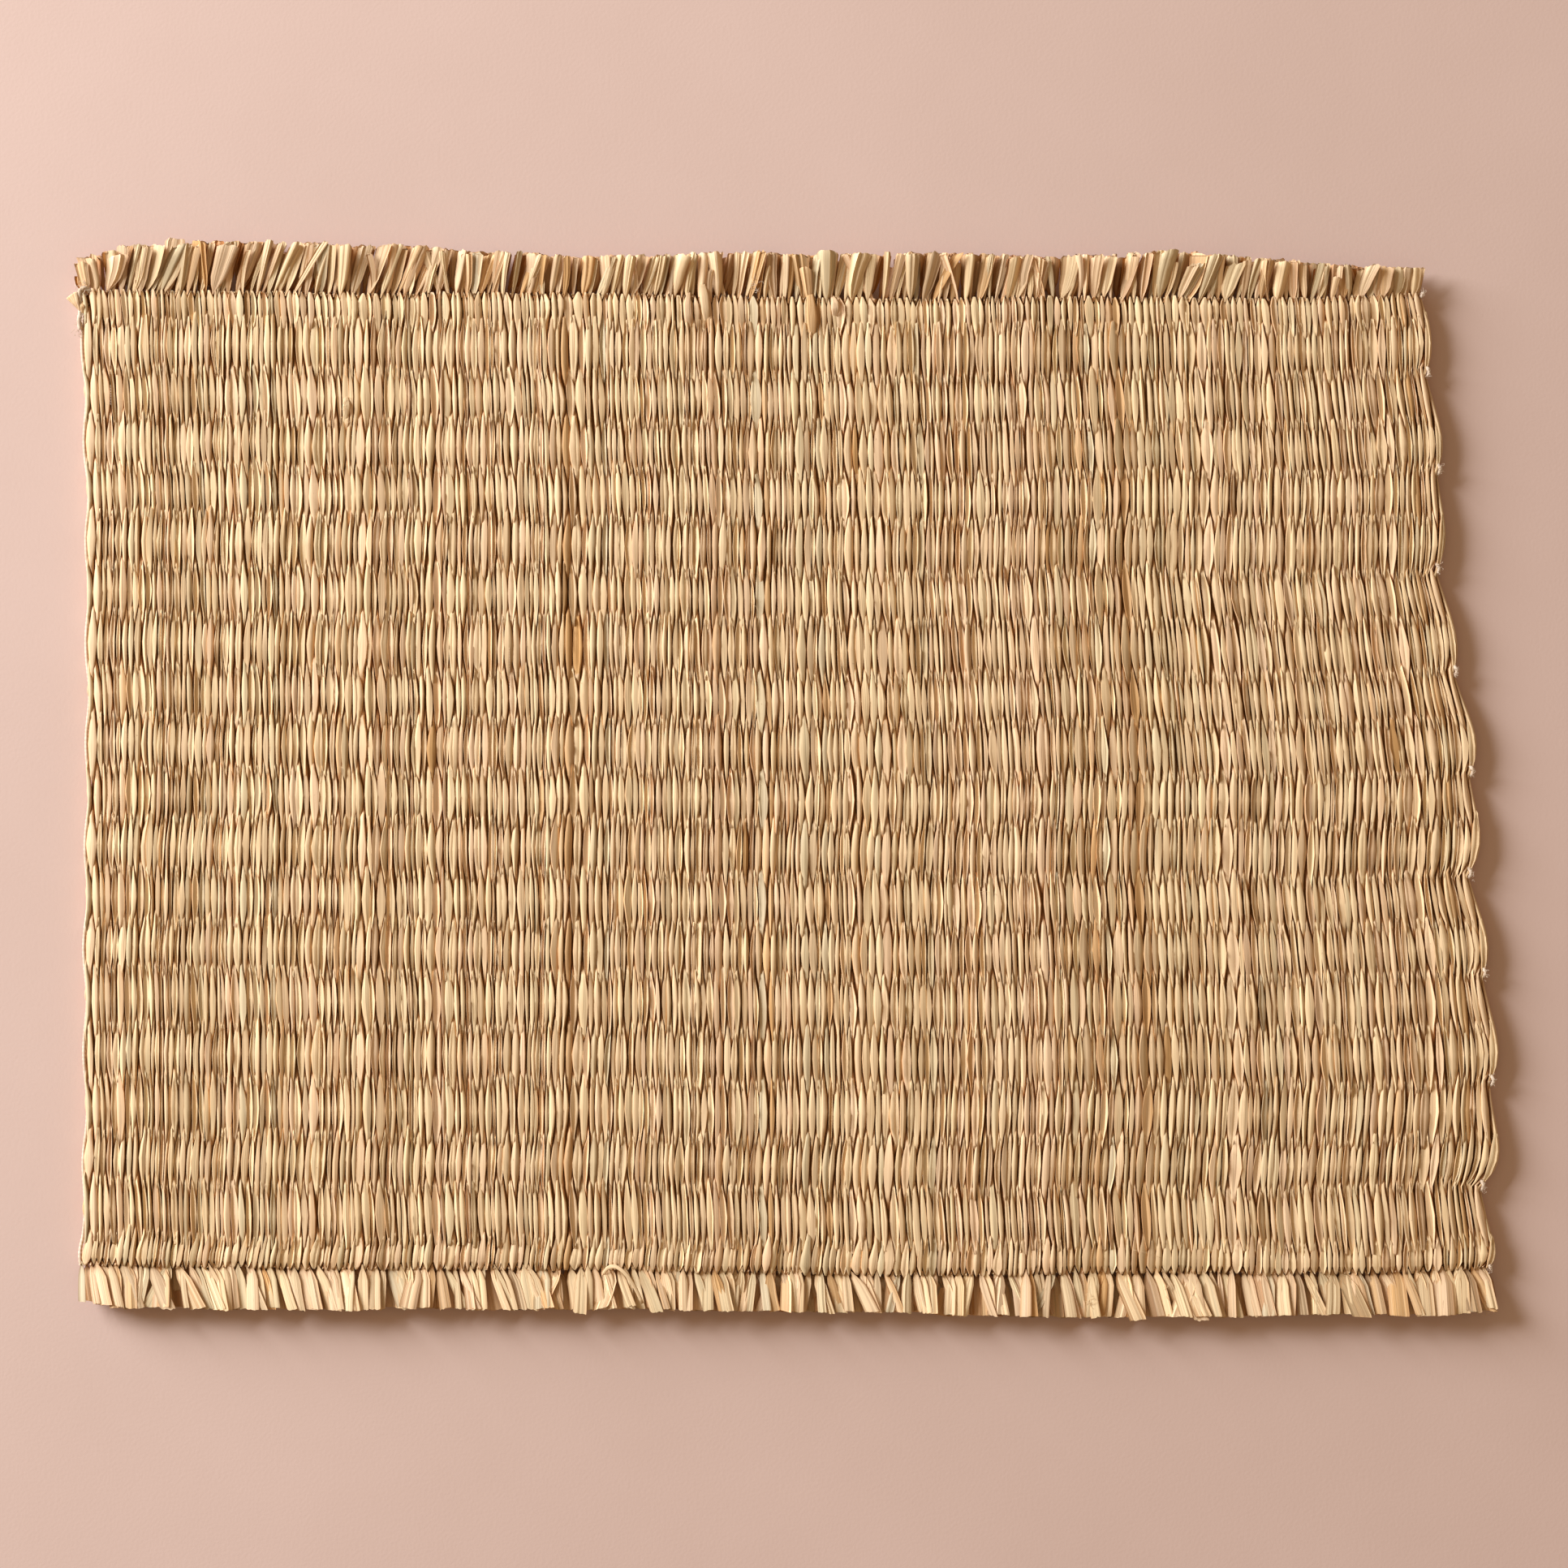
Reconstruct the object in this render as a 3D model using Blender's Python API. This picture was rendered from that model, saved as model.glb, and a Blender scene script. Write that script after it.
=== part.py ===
"""A woven cattail placemat, lying flat.

Flattened cattail leaves run along Y, over and under cotton cords that run along X and stay hidden inside
the weave. Each cord lifts every other leaf, so the cloth is a stack of ribbed rows. The leaf ends stand out
past the two long edges as a fringe. The cord shows only at the two short edges, where it turns back into the
next row.

Units are metres, +Z is up, and the mat rests on Z = 0. The origin is under the middle of the mat.
"""

import math
import random
from collections import namedtuple

import bmesh
import bpy
from mathutils import Vector

MM = 0.001

# Woven rows, from the far edge (+Y) to the near edge. The first and the last are half rows.
FAR_LINE_Y = 163.6 * MM
ROW_HEIGHTS = [
    height * MM
    for height in (
        10.2, 16.8, 16.2, 16.8, 16.0, 17.6, 16.2, 18.4, 16.2, 17.6,
        16.5, 17.9, 16.8, 17.0, 18.2, 18.2, 18.7, 16.8, 18.7, 9.3,
    )
]
ROWS = len(ROW_HEIGHTS)

# Thickness of the cloth: the crown of a row, and the valley where the leaves of two rows cross.
CROWN_HEIGHT = 5.5 * MM
VALLEY_DEPTH = 0.75 * MM
RowSection = namedtuple("RowSection", "share rise")
ROW_SECTIONS = (
    RowSection(share=0.00, rise=0.00),
    RowSection(share=0.12, rise=0.62),
    RowSection(share=0.30, rise=1.00),
    RowSection(share=0.70, rise=1.00),
    RowSection(share=0.88, rise=0.62),
)

# How far every row line strays from straight. Share is 0 at the left edge of the mat and 1 at the right.
Stray = namedtuple("Stray", "share y")
STRAYS = (
    Stray(share=0.00, y=2.0 * MM),
    Stray(share=0.17, y=0.9 * MM),
    Stray(share=0.40, y=0.5 * MM),
    Stray(share=0.50, y=-0.5 * MM),
    Stray(share=0.62, y=-1.4 * MM),
    Stray(share=0.73, y=-0.4 * MM),
    Stray(share=0.92, y=-0.9 * MM),
    Stray(share=1.00, y=1.0 * MM),
)

# Right edge: at every second row line a cord turn draws the leaves in, and they bulge out between two turns.
# Pinch room lies between a turn and the leaves, and the pinch is flat for its half share of a row each way.
RightEdge = namedtuple("RightEdge", "line turn bulge")
RIGHT_EDGE = (
    RightEdge(line=0, turn=215.6 * MM, bulge=218.1 * MM),
    RightEdge(line=2, turn=217.6 * MM, bulge=221.8 * MM),
    RightEdge(line=4, turn=221.4 * MM, bulge=222.8 * MM),
    RightEdge(line=6, turn=221.0 * MM, bulge=226.6 * MM),
    RightEdge(line=8, turn=227.0 * MM, bulge=233.2 * MM),
    RightEdge(line=10, turn=232.4 * MM, bulge=234.6 * MM),
    RightEdge(line=12, turn=231.8 * MM, bulge=237.2 * MM),
    RightEdge(line=14, turn=236.6 * MM, bulge=240.7 * MM),
    RightEdge(line=16, turn=239.4 * MM, bulge=240.9 * MM),
    RightEdge(line=18, turn=236.0 * MM, bulge=239.8 * MM),
    RightEdge(line=20, turn=238.4 * MM, bulge=239.8 * MM),
)
PINCH_ROOM = 1.15 * MM
PINCH_HALF_SHARE = 0.12

# Left edge: the outer side of the cord that runs all the way down it, which swings out at every second row.
LeftEdge = namedtuple("LeftEdge", "line x")
LEFT_EDGE = (
    LeftEdge(line=0, x=-238.9 * MM),
    LeftEdge(line=2, x=-238.3 * MM),
    LeftEdge(line=5, x=-237.1 * MM),
    LeftEdge(line=10, x=-237.0 * MM),
    LeftEdge(line=14, x=-237.9 * MM),
    LeftEdge(line=17, x=-237.7 * MM),
    LeftEdge(line=20, x=-239.4 * MM),
)
LEFT_SWING = 0.6 * MM

# Cotton cord.
CORD_DIAMETER = 1.3 * MM
CORD_HEIGHT = 2.75 * MM
CORD_WEAVE = 0.5 * MM
CORD_POINTS_PER_ROW = 4
SELVAGE_GAP = 0.45 * MM
CORD_END_INSET = 0.2 * MM
TURN_HALF_LENGTH = 2.3 * MM
END_TURN_LENGTH = 1.6 * MM
TURN_BOW = 0.15 * MM
TURN_POINTS = 5

# Fringe of leaf ends. A narrow strip beside each end cord holds the roots of its locks.
GAP = 0.33 * MM
STRIP_WIDTH = 1.8 * MM
STRIP_TOP = 4.2 * MM
LOCK_PITCH = 3.2 * MM
LOCK_ROOT_WIDTH = 1.5 * MM
LOCK_TIP_WIDTH = 2.6 * MM
LOCK_TIP_TOP = 6.6 * MM
LOCK_TIP_TOP_STRAY = 0.9 * MM
LOCK_SLANT = 0.6 * MM
LOCK_SIDE_STRAY = 0.08 * MM

# Where the trimmed tips end, and how far they lean along X for each unit of length.
Trim = namedtuple("Trim", "x tip_y lean")
FAR_TRIM = (
    Trim(x=-240 * MM, tip_y=173.6 * MM, lean=-0.35),
    Trim(x=-225 * MM, tip_y=180.0 * MM, lean=0.16),
    Trim(x=-195 * MM, tip_y=182.0 * MM, lean=0.24),
    Trim(x=-130 * MM, tip_y=179.4 * MM, lean=0.22),
    Trim(x=-60 * MM, tip_y=177.8 * MM, lean=0.16),
    Trim(x=100 * MM, tip_y=177.6 * MM, lean=0.10),
    Trim(x=135 * MM, tip_y=178.4 * MM, lean=0.20),
    Trim(x=180 * MM, tip_y=174.3 * MM, lean=0.14),
    Trim(x=216 * MM, tip_y=172.5 * MM, lean=0.02),
)
NEAR_TRIM = (
    Trim(x=-240 * MM, tip_y=-176.2 * MM, lean=-0.02),
    Trim(x=-226 * MM, tip_y=-179.2 * MM, lean=0.34),
    Trim(x=-60 * MM, tip_y=-179.4 * MM, lean=0.28),
    Trim(x=40 * MM, tip_y=-180.3 * MM, lean=0.24),
    Trim(x=100 * MM, tip_y=-182.0 * MM, lean=0.34),
    Trim(x=135 * MM, tip_y=-182.0 * MM, lean=0.34),
    Trim(x=178 * MM, tip_y=-181.2 * MM, lean=0.22),
    Trim(x=226 * MM, tip_y=-181.0 * MM, lean=0.20),
    Trim(x=240 * MM, tip_y=-178.8 * MM, lean=0.26),
)


def between(table, column, wanted, key):
    """The value of a table's column at a place between its rows, on straight lines from row to row."""
    rows = list(table)
    place = min(max(wanted, getattr(rows[0], key)), getattr(rows[-1], key))
    for low, high in zip(rows, rows[1:]):
        if place <= getattr(high, key):
            share = (place - getattr(low, key)) / (getattr(high, key) - getattr(low, key))
            return getattr(low, column) * (1 - share) + getattr(high, column) * share
    return getattr(rows[-1], column)


def row_line_y(line, share):
    """Y at a place counted in row lines, 0 at the far end cord, and in shares across the mat."""
    row = min(int(line), ROWS - 1)
    straight = FAR_LINE_Y - sum(ROW_HEIGHTS[:row]) - (line - row) * ROW_HEIGHTS[row]
    return straight + between(STRAYS, "y", share, key="share")


def right_edge_x(line):
    """X of the leaves at the right edge. They are drawn in behind each cord turn, and bulge between two."""
    pinch = between(RIGHT_EDGE, "turn", line, key="line") - CORD_DIAMETER - PINCH_ROOM
    bulge = between(RIGHT_EDGE, "bulge", line - 1, key="line")
    floor = math.sin(math.pi * PINCH_HALF_SHARE / 2)
    share = max(0, (abs(math.sin(math.pi * line / 2)) - floor) / (1 - floor))
    return pinch * (1 - share) + bulge * share


def left_cord_x(line):
    """X of the middle of the cord that runs down the left edge."""
    swing = LEFT_SWING * math.sin(math.pi * (line - 1))
    return between(LEFT_EDGE, "x", line, key="line") - swing + CORD_DIAMETER / 2


def left_edge_x(line):
    """X of the leaves at the left edge, which follow the cord."""
    return left_cord_x(line) + CORD_DIAMETER / 2 + SELVAGE_GAP


def finish(name, color, roughness):
    """A plain dielectric material."""
    material = bpy.data.materials.new(name)
    material.use_nodes = True
    shader = material.node_tree.nodes["Principled BSDF"]
    shader.inputs["Base Color"].default_value = (*color, 1)
    shader.inputs["Roughness"].default_value = roughness
    shader.inputs["Metallic"].default_value = 0.0
    return material


def add_object(name, mesh, collection, material):
    """A new object from a bmesh, flat shaded, in this collection."""
    bmesh.ops.recalc_face_normals(mesh, faces=mesh.faces)
    data = bpy.data.meshes.new(name)
    mesh.to_mesh(data)
    mesh.free()
    obj = bpy.data.objects.new(name, data)
    collection.objects.link(obj)
    data.materials.append(material)
    return obj


def slab(columns, levels, place):
    """A closed slab: a unit grid extruded once, with each point moved to place(column, level, is_top).

    Columns count from 0 at the left, and levels from 0 at the far side. It also gives each point's column
    and level.
    """
    mesh = bmesh.new()
    bmesh.ops.create_grid(mesh, x_segments=columns, y_segments=levels, size=0.5)
    extruded = bmesh.ops.extrude_face_region(mesh, geom=mesh.faces[:])["geom"]
    top_points = {item for item in extruded if isinstance(item, bmesh.types.BMVert)}
    spots = {}
    for point in mesh.verts:
        column = round((point.co.x + 0.5) * columns)
        level = round((0.5 - point.co.y) * levels)
        point.co = place(column, level, point in top_points)
        spots[point] = (column, level)
    return mesh, spots


def field_point(column, level, is_top):
    """A point of the woven field. Its rows are ribs along X, crowned the same way on both faces."""
    row, section = divmod(level, len(ROW_SECTIONS))
    shape = ROW_SECTIONS[section]
    line = row + shape.share
    share = STRAYS[column].share
    x = left_edge_x(line) * (1 - share) + right_edge_x(line) * share
    sunk = VALLEY_DEPTH * (1 - shape.rise)
    return Vector((x, row_line_y(line, share), CROWN_HEIGHT - sunk if is_top else sunk))


def make_field(collection, material):
    """The woven leaves, one solid from end cord to end cord."""
    mesh, _ = slab(len(STRAYS) - 1, ROWS * len(ROW_SECTIONS), field_point)
    return add_object("woven_leaves", mesh, collection, material)


def draw_out_lock(mesh, wall, root_x, tip_x, tip_y, slant, tip_top):
    """Extrudes one wall face of the strip into a lock, wider and higher at its tip and level underneath."""
    tip = bmesh.ops.extrude_discrete_faces(mesh, faces=[wall])["faces"][0]
    for corner in tip.verts:
        side = math.copysign(1, corner.co.x - root_x)
        height = tip_top if corner.co.z > 0 else 0
        corner.co = Vector((tip_x + side * LOCK_TIP_WIDTH / 2, tip_y + side * slant, height))


def make_fringe(name, line, trims, outward, collection, material, seed):
    """The strip beside one end cord, with a lock drawn out of it at every pitch.

    Outward is 1 towards +Y and -1 towards -Y.
    """
    left = left_cord_x(line) - CORD_DIAMETER / 2
    right = between(RIGHT_EDGE, "turn", line, key="line")
    count = int((right - left) / LOCK_PITCH)
    first = (left + right - (count - 1) * LOCK_PITCH) / 2
    roots = [first + number * LOCK_PITCH for number in range(count)]
    cuts = [left, *(x + side * LOCK_ROOT_WIDTH / 2 for x in roots for side in (-1, 1)), right]
    outer_level = 0 if outward > 0 else 1

    def line_y(x):
        share = (x - left_edge_x(line)) / (right_edge_x(line) - left_edge_x(line))
        return row_line_y(line, share)

    def strip_point(column, level, is_top):
        x = cuts[column]
        away = GAP + (STRIP_WIDTH if level == outer_level else 0)
        return Vector((x, line_y(x) + outward * away, STRIP_TOP if is_top else 0))

    mesh, spots = slab(len(cuts) - 1, 1, strip_point)
    walls = {}
    for face in mesh.faces:
        columns, levels = zip(*(spots[point] for point in face.verts))
        if set(levels) == {outer_level} and min(columns) % 2 == 1:
            walls[min(columns) // 2] = face

    chance = random.Random(seed)
    for number, x in enumerate(roots):
        slant = chance.uniform(-LOCK_SLANT, LOCK_SLANT)
        side = chance.uniform(-LOCK_SIDE_STRAY, LOCK_SIDE_STRAY)
        rise = chance.uniform(-LOCK_TIP_TOP_STRAY, LOCK_TIP_TOP_STRAY)
        tip_y = between(trims, "tip_y", x, key="x") - outward * abs(slant)
        length = abs(tip_y - line_y(x))
        tip_x = x + between(trims, "lean", x, key="x") * length + side
        draw_out_lock(mesh, walls[number], x, tip_x, tip_y, slant, LOCK_TIP_TOP + rise)
    return add_object(name, mesh, collection, material)


def make_cord(name, points, collection, material):
    """A round cotton cord through these points, with closed ends."""
    curve = bpy.data.curves.new(name, "CURVE")
    curve.dimensions = "3D"
    curve.bevel_depth = CORD_DIAMETER / 2
    curve.bevel_resolution = 2
    curve.use_fill_caps = True
    spline = curve.splines.new("POLY")
    spline.points.add(len(points) - 1)
    for place, point in zip(points, spline.points):
        point.co = (*place, 1)
    curve.materials.append(material)
    obj = bpy.data.objects.new(name, curve)
    collection.objects.link(obj)
    return obj


def make_left_cord(collection, material):
    """The cord down the left edge. It swings out round the outer leaf, and over and under it."""
    points = []
    for step in range(ROWS * CORD_POINTS_PER_ROW + 1):
        line = step / CORD_POINTS_PER_ROW
        x = left_cord_x(line)
        z = CORD_HEIGHT + CORD_WEAVE * math.cos(math.pi * line)
        points.append(Vector((x, row_line_y(line, share=0), z)))
    points[0].y -= CORD_END_INSET
    points[-1].y += CORD_END_INSET
    return make_cord("selvage_cord", points, collection, material)


def make_cord_turns(collection, material):
    """The short turns of cord at the right edge, one at every second row line.

    Each bridges the pinch in the leaves. The first and the last are shorter, and end at the end cords.
    """
    for number, edge in enumerate(RIGHT_EDGE, start=1):
        start, end = TURN_HALF_LENGTH, -TURN_HALF_LENGTH
        if edge.line == 0:
            start, end = -CORD_END_INSET, -END_TURN_LENGTH
        elif edge.line == ROWS:
            start, end = END_TURN_LENGTH, CORD_END_INSET
        points = []
        for step in range(TURN_POINTS):
            along = start + (end - start) * step / (TURN_POINTS - 1)
            share = along / TURN_HALF_LENGTH
            x = edge.turn - CORD_DIAMETER / 2 - TURN_BOW * share**2
            y = row_line_y(edge.line, share=1) + along
            points.append(Vector((x, y, CORD_HEIGHT + CORD_WEAVE * share)))
        make_cord(f"cord_turn_{number:02d}", points, collection, material)


def make_placemat():
    """Clears the scene and builds every piece."""
    for obj in list(bpy.data.objects):
        bpy.data.objects.remove(obj, do_unlink=True)
    placemat = bpy.data.collections.new("cattail_placemat")
    bpy.context.scene.collection.children.link(placemat)

    leaf = finish("woven_leaf", color=(0.60, 0.43, 0.24), roughness=0.62)
    leaf_end = finish("cut_leaf_end", color=(0.68, 0.50, 0.30), roughness=0.70)
    cotton = finish("cotton_cord", color=(0.82, 0.74, 0.60), roughness=0.90)

    make_field(placemat, leaf)
    make_fringe("fringe_far", 0, FAR_TRIM, 1, placemat, leaf_end, seed=3)
    make_fringe("fringe_near", ROWS, NEAR_TRIM, -1, placemat, leaf_end, seed=7)
    make_left_cord(placemat, cotton)
    make_cord_turns(placemat, cotton)


make_placemat()
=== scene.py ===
"""A woven cattail placemat, lying flat: its leaves, fringes, cotton cord and small faults, in metres."""

import math
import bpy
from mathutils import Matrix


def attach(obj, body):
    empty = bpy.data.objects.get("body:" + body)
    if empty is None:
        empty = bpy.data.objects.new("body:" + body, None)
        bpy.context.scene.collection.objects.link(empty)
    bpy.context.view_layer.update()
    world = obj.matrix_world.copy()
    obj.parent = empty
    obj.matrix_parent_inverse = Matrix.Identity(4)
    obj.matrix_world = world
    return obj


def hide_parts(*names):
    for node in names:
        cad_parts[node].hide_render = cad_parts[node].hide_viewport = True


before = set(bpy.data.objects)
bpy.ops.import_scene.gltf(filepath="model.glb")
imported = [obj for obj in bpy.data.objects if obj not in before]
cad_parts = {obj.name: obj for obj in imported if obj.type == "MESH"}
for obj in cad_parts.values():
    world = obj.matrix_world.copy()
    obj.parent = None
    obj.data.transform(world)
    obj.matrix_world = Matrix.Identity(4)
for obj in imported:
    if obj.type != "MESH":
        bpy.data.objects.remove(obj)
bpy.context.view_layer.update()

from types import SimpleNamespace

import bpy
import numpy as np


# Studio. The mat lies on a pale pink plaster board under one large soft light from the upper left, and
# the camera looks straight down on it.

MM = 0.001
PHOTO_PIXELS = 1932
MAT_PIXELS = 1752
MAT_LENGTH = 482 * MM
MAT_MIDDLE_PIXEL = (969, 960)
CAMERA_HEIGHT = 1.9
SENSOR = 36.0
FLOOR_SIDE = 6.0
KEY_DISTANCE = 2.8
KEY_SIDE = 1.5
KEY_DIRECTION = (-0.80, 0.43, 0.33)
KEY_AIM = (0.0, -0.6, 0.0)
KEY_POWER = 163.0
KEY_COLOR = (0.88, 0.945, 1.03)
FILL_COLOR = (1.0, 0.72, 0.46)
FILL_STRENGTH = 0.335
PLASTER = {
    "patches": {"Scale": 7.0, "Detail": 6.0, "Roughness": 0.62},
    "colors": [(0.25, (0.735, 0.528, 0.440)), (0.75, (0.790, 0.575, 0.487))],
    "grain": {"Scale": 900.0, "Detail": 3.0},
    "strength": 0.15, "distance": 0.2 * MM, "roughness": 0.85,
}

metres_per_pixel = MAT_LENGTH / MAT_PIXELS


def link(obj):
    """Puts an object in the scene and gives it back."""
    bpy.context.scene.collection.objects.link(obj)
    return obj


def add_node(tree, kind, **settings):
    """A shader node with these settings. A setting named after an input socket sets that input's value."""
    node = tree.nodes.new(kind)
    for name, value in settings.items():
        if hasattr(node, name):
            setattr(node, name, value)
        else:
            node.inputs[name.replace("_", " ")].default_value = value
    return node


def join(tree, start, end):
    """Links an output to an input."""
    tree.links.new(start, end)


def new_material(name):
    """A new node material, with its tree and its Principled shader."""
    material = bpy.data.materials.new(name)
    material.use_nodes = True
    tree = material.node_tree
    return material, tree, tree.nodes["Principled BSDF"]


def ramp(tree, source, stops):
    """A colour ramp with these (place, colour) stops, fed by a value."""
    node = tree.nodes.new("ShaderNodeValToRGB")
    elements = node.color_ramp.elements
    while len(elements) < len(stops):
        elements.new(0.5)
    for element, (place, color) in zip(elements, stops):
        element.position = place
        element.color = (*color, 1)
    join(tree, source, node.inputs["Fac"])
    return node.outputs["Color"]


def noise(tree, place, **settings):
    """A noise value at a place."""
    node = add_node(tree, "ShaderNodeTexNoise", **settings)
    join(tree, place, node.inputs["Vector"])
    return node.outputs["Fac"]


def add_relief(tree, shader, height, strength, distance):
    """Bumps a shader's surface by a height, with the distance in metres."""
    node = add_node(tree, "ShaderNodeBump", Strength=strength, Distance=distance)
    join(tree, height, node.inputs["Height"])
    join(tree, node.outputs["Normal"], shader.inputs["Normal"])


def mottled_material(name, patches, colors, grain, strength, distance, roughness):
    """A matt material: one noise mottles its colour and a finer one is its relief."""
    material, tree, shader = new_material(name)
    place = add_node(tree, "ShaderNodeTexCoord").outputs["Object"]
    join(tree, ramp(tree, noise(tree, place, **patches), colors), shader.inputs["Base Color"])
    add_relief(tree, shader, noise(tree, place, **grain), strength, distance)
    shader.inputs["Roughness"].default_value = roughness
    return material


floor_mesh = bpy.data.meshes.new("studio_board")
reach = FLOOR_SIDE / 2
floor_corners = [(-reach, -reach, 0), (reach, -reach, 0), (reach, reach, 0), (-reach, reach, 0)]
floor_mesh.from_pydata(floor_corners, [], [(0, 1, 2, 3)])
floor_mesh.materials.append(mottled_material("plaster_board", **PLASTER))
link(bpy.data.objects.new("studio_board", floor_mesh))

key_data = bpy.data.lights.new("key_light", "AREA")
key_data.shape = "SQUARE"
key_data.size = KEY_SIDE
key_data.energy = KEY_POWER
key_data.color = KEY_COLOR
key = link(bpy.data.objects.new("key_light", key_data))
toward = np.array(KEY_DIRECTION) / np.linalg.norm(KEY_DIRECTION)
key.location = toward * KEY_DISTANCE
away = toward * KEY_DISTANCE - np.array(KEY_AIM)
tilt = math.acos(away[2] / np.linalg.norm(away))
key.rotation_euler = (tilt, 0, math.atan2(away[0], -away[1]))

world = bpy.data.worlds.new("studio")
world.use_nodes = True
background = world.node_tree.nodes["Background"]
background.inputs["Color"].default_value = (*FILL_COLOR, 1)
background.inputs["Strength"].default_value = FILL_STRENGTH
bpy.context.scene.world = world
bpy.context.scene.view_settings.view_transform = "Standard"

camera_data = bpy.data.cameras.new("camera")
camera_data.sensor_width = SENSOR
camera_data.lens = SENSOR * CAMERA_HEIGHT / (PHOTO_PIXELS * metres_per_pixel)
camera = link(bpy.data.objects.new("camera", camera_data))
camera.location = (
    (PHOTO_PIXELS / 2 - MAT_MIDDLE_PIXEL[0]) * metres_per_pixel,
    (MAT_MIDDLE_PIXEL[1] - PHOTO_PIXELS / 2) * metres_per_pixel,
    CAMERA_HEIGHT,
)
bpy.context.scene.camera = camera


# Cotton cord. One twisted white cotton cord is laid back and forth along X, and all but its turns ends
# up hidden between the leaves. It runs on down the left edge, and turns back at the right edge at every
# second row line.

FAR_LINE_Y = 163.6 * MM
ROW_HEIGHTS = MM * np.array([
    10.2, 16.8, 16.2, 16.8, 16.0, 17.6, 16.2, 18.4, 16.2, 17.6,
    16.5, 17.9, 16.8, 17.0, 18.2, 18.2, 18.7, 16.8, 18.7, 9.3,
])
ROWS = len(ROW_HEIGHTS)
LINES = np.arange(ROWS + 1)
LINE_Y = FAR_LINE_Y - np.concatenate([[0.0], np.cumsum(ROW_HEIGHTS)])
STRAYS = {
    "share": np.array([0.00, 0.17, 0.40, 0.50, 0.62, 0.73, 0.92, 1.00]),
    "y": MM * np.array([2.0, 0.9, 0.5, -0.5, -1.4, -0.4, -0.9, 1.0]),
}
RIGHT_EDGE = {
    "line": np.arange(0, ROWS + 1, 2),
    "turn": MM * np.array([215.6, 217.6, 221.4, 221.0, 227.0, 232.4, 231.8, 236.6, 239.4, 236.0, 238.4]),
    "bulge": MM * np.array([218.1, 221.8, 222.8, 226.6, 233.2, 234.6, 237.2, 240.7, 240.9, 239.8, 239.8]),
}
LEFT_EDGE = {
    "line": np.array([0, 2, 5, 10, 14, 17, 20]),
    "x": MM * np.array([-238.9, -238.3, -237.1, -237.0, -237.9, -237.7, -239.4]),
}
LEFT_SWING = 0.6 * MM
LEFT_COVER = 0.7 * MM
LEFT_COVER_START = 0.9
LEFT_LAP = 0.1
NOTCH_DEPTH = 1.05 * MM
BULGE_PLACE = 0.7
BULGE_POWERS = (1.94, 0.8)
CORD_DIAMETER = 1.3 * MM
CORD_HEIGHT = 2.75 * MM
CORD_WEAVE = 0.5 * MM
TURN_HALF_LENGTH = 2.3 * MM
END_TURN_LENGTH = 1.6 * MM
TURN_BOW = 1.5 * MM
TURN_OUT = 0.35 * MM
TURN_RISE = 2.5 * MM
TURN_STEPS = 14
CORD_PLIES = 3
CORD_LAY = 4.2 * MM
CORD_STEPS_A_ROW = 48
CORD_POINTS_AROUND = 15
PLY_DEPTH = 0.26
COTTON = {
    "patches": {"Scale": 260.0, "Detail": 3.0},
    "colors": [(0.3, (0.58, 0.41, 0.26)), (0.7, (0.77, 0.61, 0.46))],
    "grain": {"Scale": 5000.0, "Detail": 4.0},
    "strength": 0.6, "distance": 0.12 * MM, "roughness": 0.92,
}
COTTON_SHEEN = 0.3


def side_by_side(*parts):
    """Arrays brought to one shape and laid side by side in a last axis: the x, y and z of points, or
    the values of a fact."""
    return np.stack(np.broadcast_arrays(*parts), axis=-1)


def line_y(line, share):
    """Y of a place in the weave: that of its row line, or on a straight line from one to the next, plus
    the stray at the place's share across the mat."""
    return np.interp(line, LINES, LINE_Y) + np.interp(share, STRAYS["share"], STRAYS["y"])


def right_edge_x(line):
    """X of the leaves at the right edge: the notches that hold the cord turns, joined by straight
    lines, plus the bulge between each two. It is a power of a sine of a power of the place between
    them, full at the bulge place, near its lower end."""
    notch = RIGHT_EDGE["turn"] - NOTCH_DEPTH
    straight = np.interp(line, RIGHT_EDGE["line"], notch)
    above = np.clip(line // 2, 0, len(notch) - 2).astype(int)
    place = line / 2 - above
    bulge = RIGHT_EDGE["bulge"][above] - notch[above] * (1 - BULGE_PLACE) - notch[above + 1] * BULGE_PLACE
    lowered = np.clip(place, 0, 1) ** BULGE_POWERS[0]
    return straight + bulge * np.sin(math.pi * lowered) ** BULGE_POWERS[1]


def left_cord_x(line):
    """X of the middle of the left cord: the edge's own line less a sine of two rows' period."""
    swing = LEFT_SWING * np.sin(math.pi * (line - 1))
    return np.interp(line, LEFT_EDGE["line"], LEFT_EDGE["x"]) - swing + CORD_DIAMETER / 2


def left_edge_x(line):
    """X of the leaves at the left edge: a lap over the middle of the cord, and more over it by a sine
    of two rows' period."""
    cover = LEFT_COVER * (0.5 - 0.5 * np.sin(math.pi * (line - LEFT_COVER_START)))
    return left_cord_x(line) - LEFT_LAP * CORD_DIAMETER - cover


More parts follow.
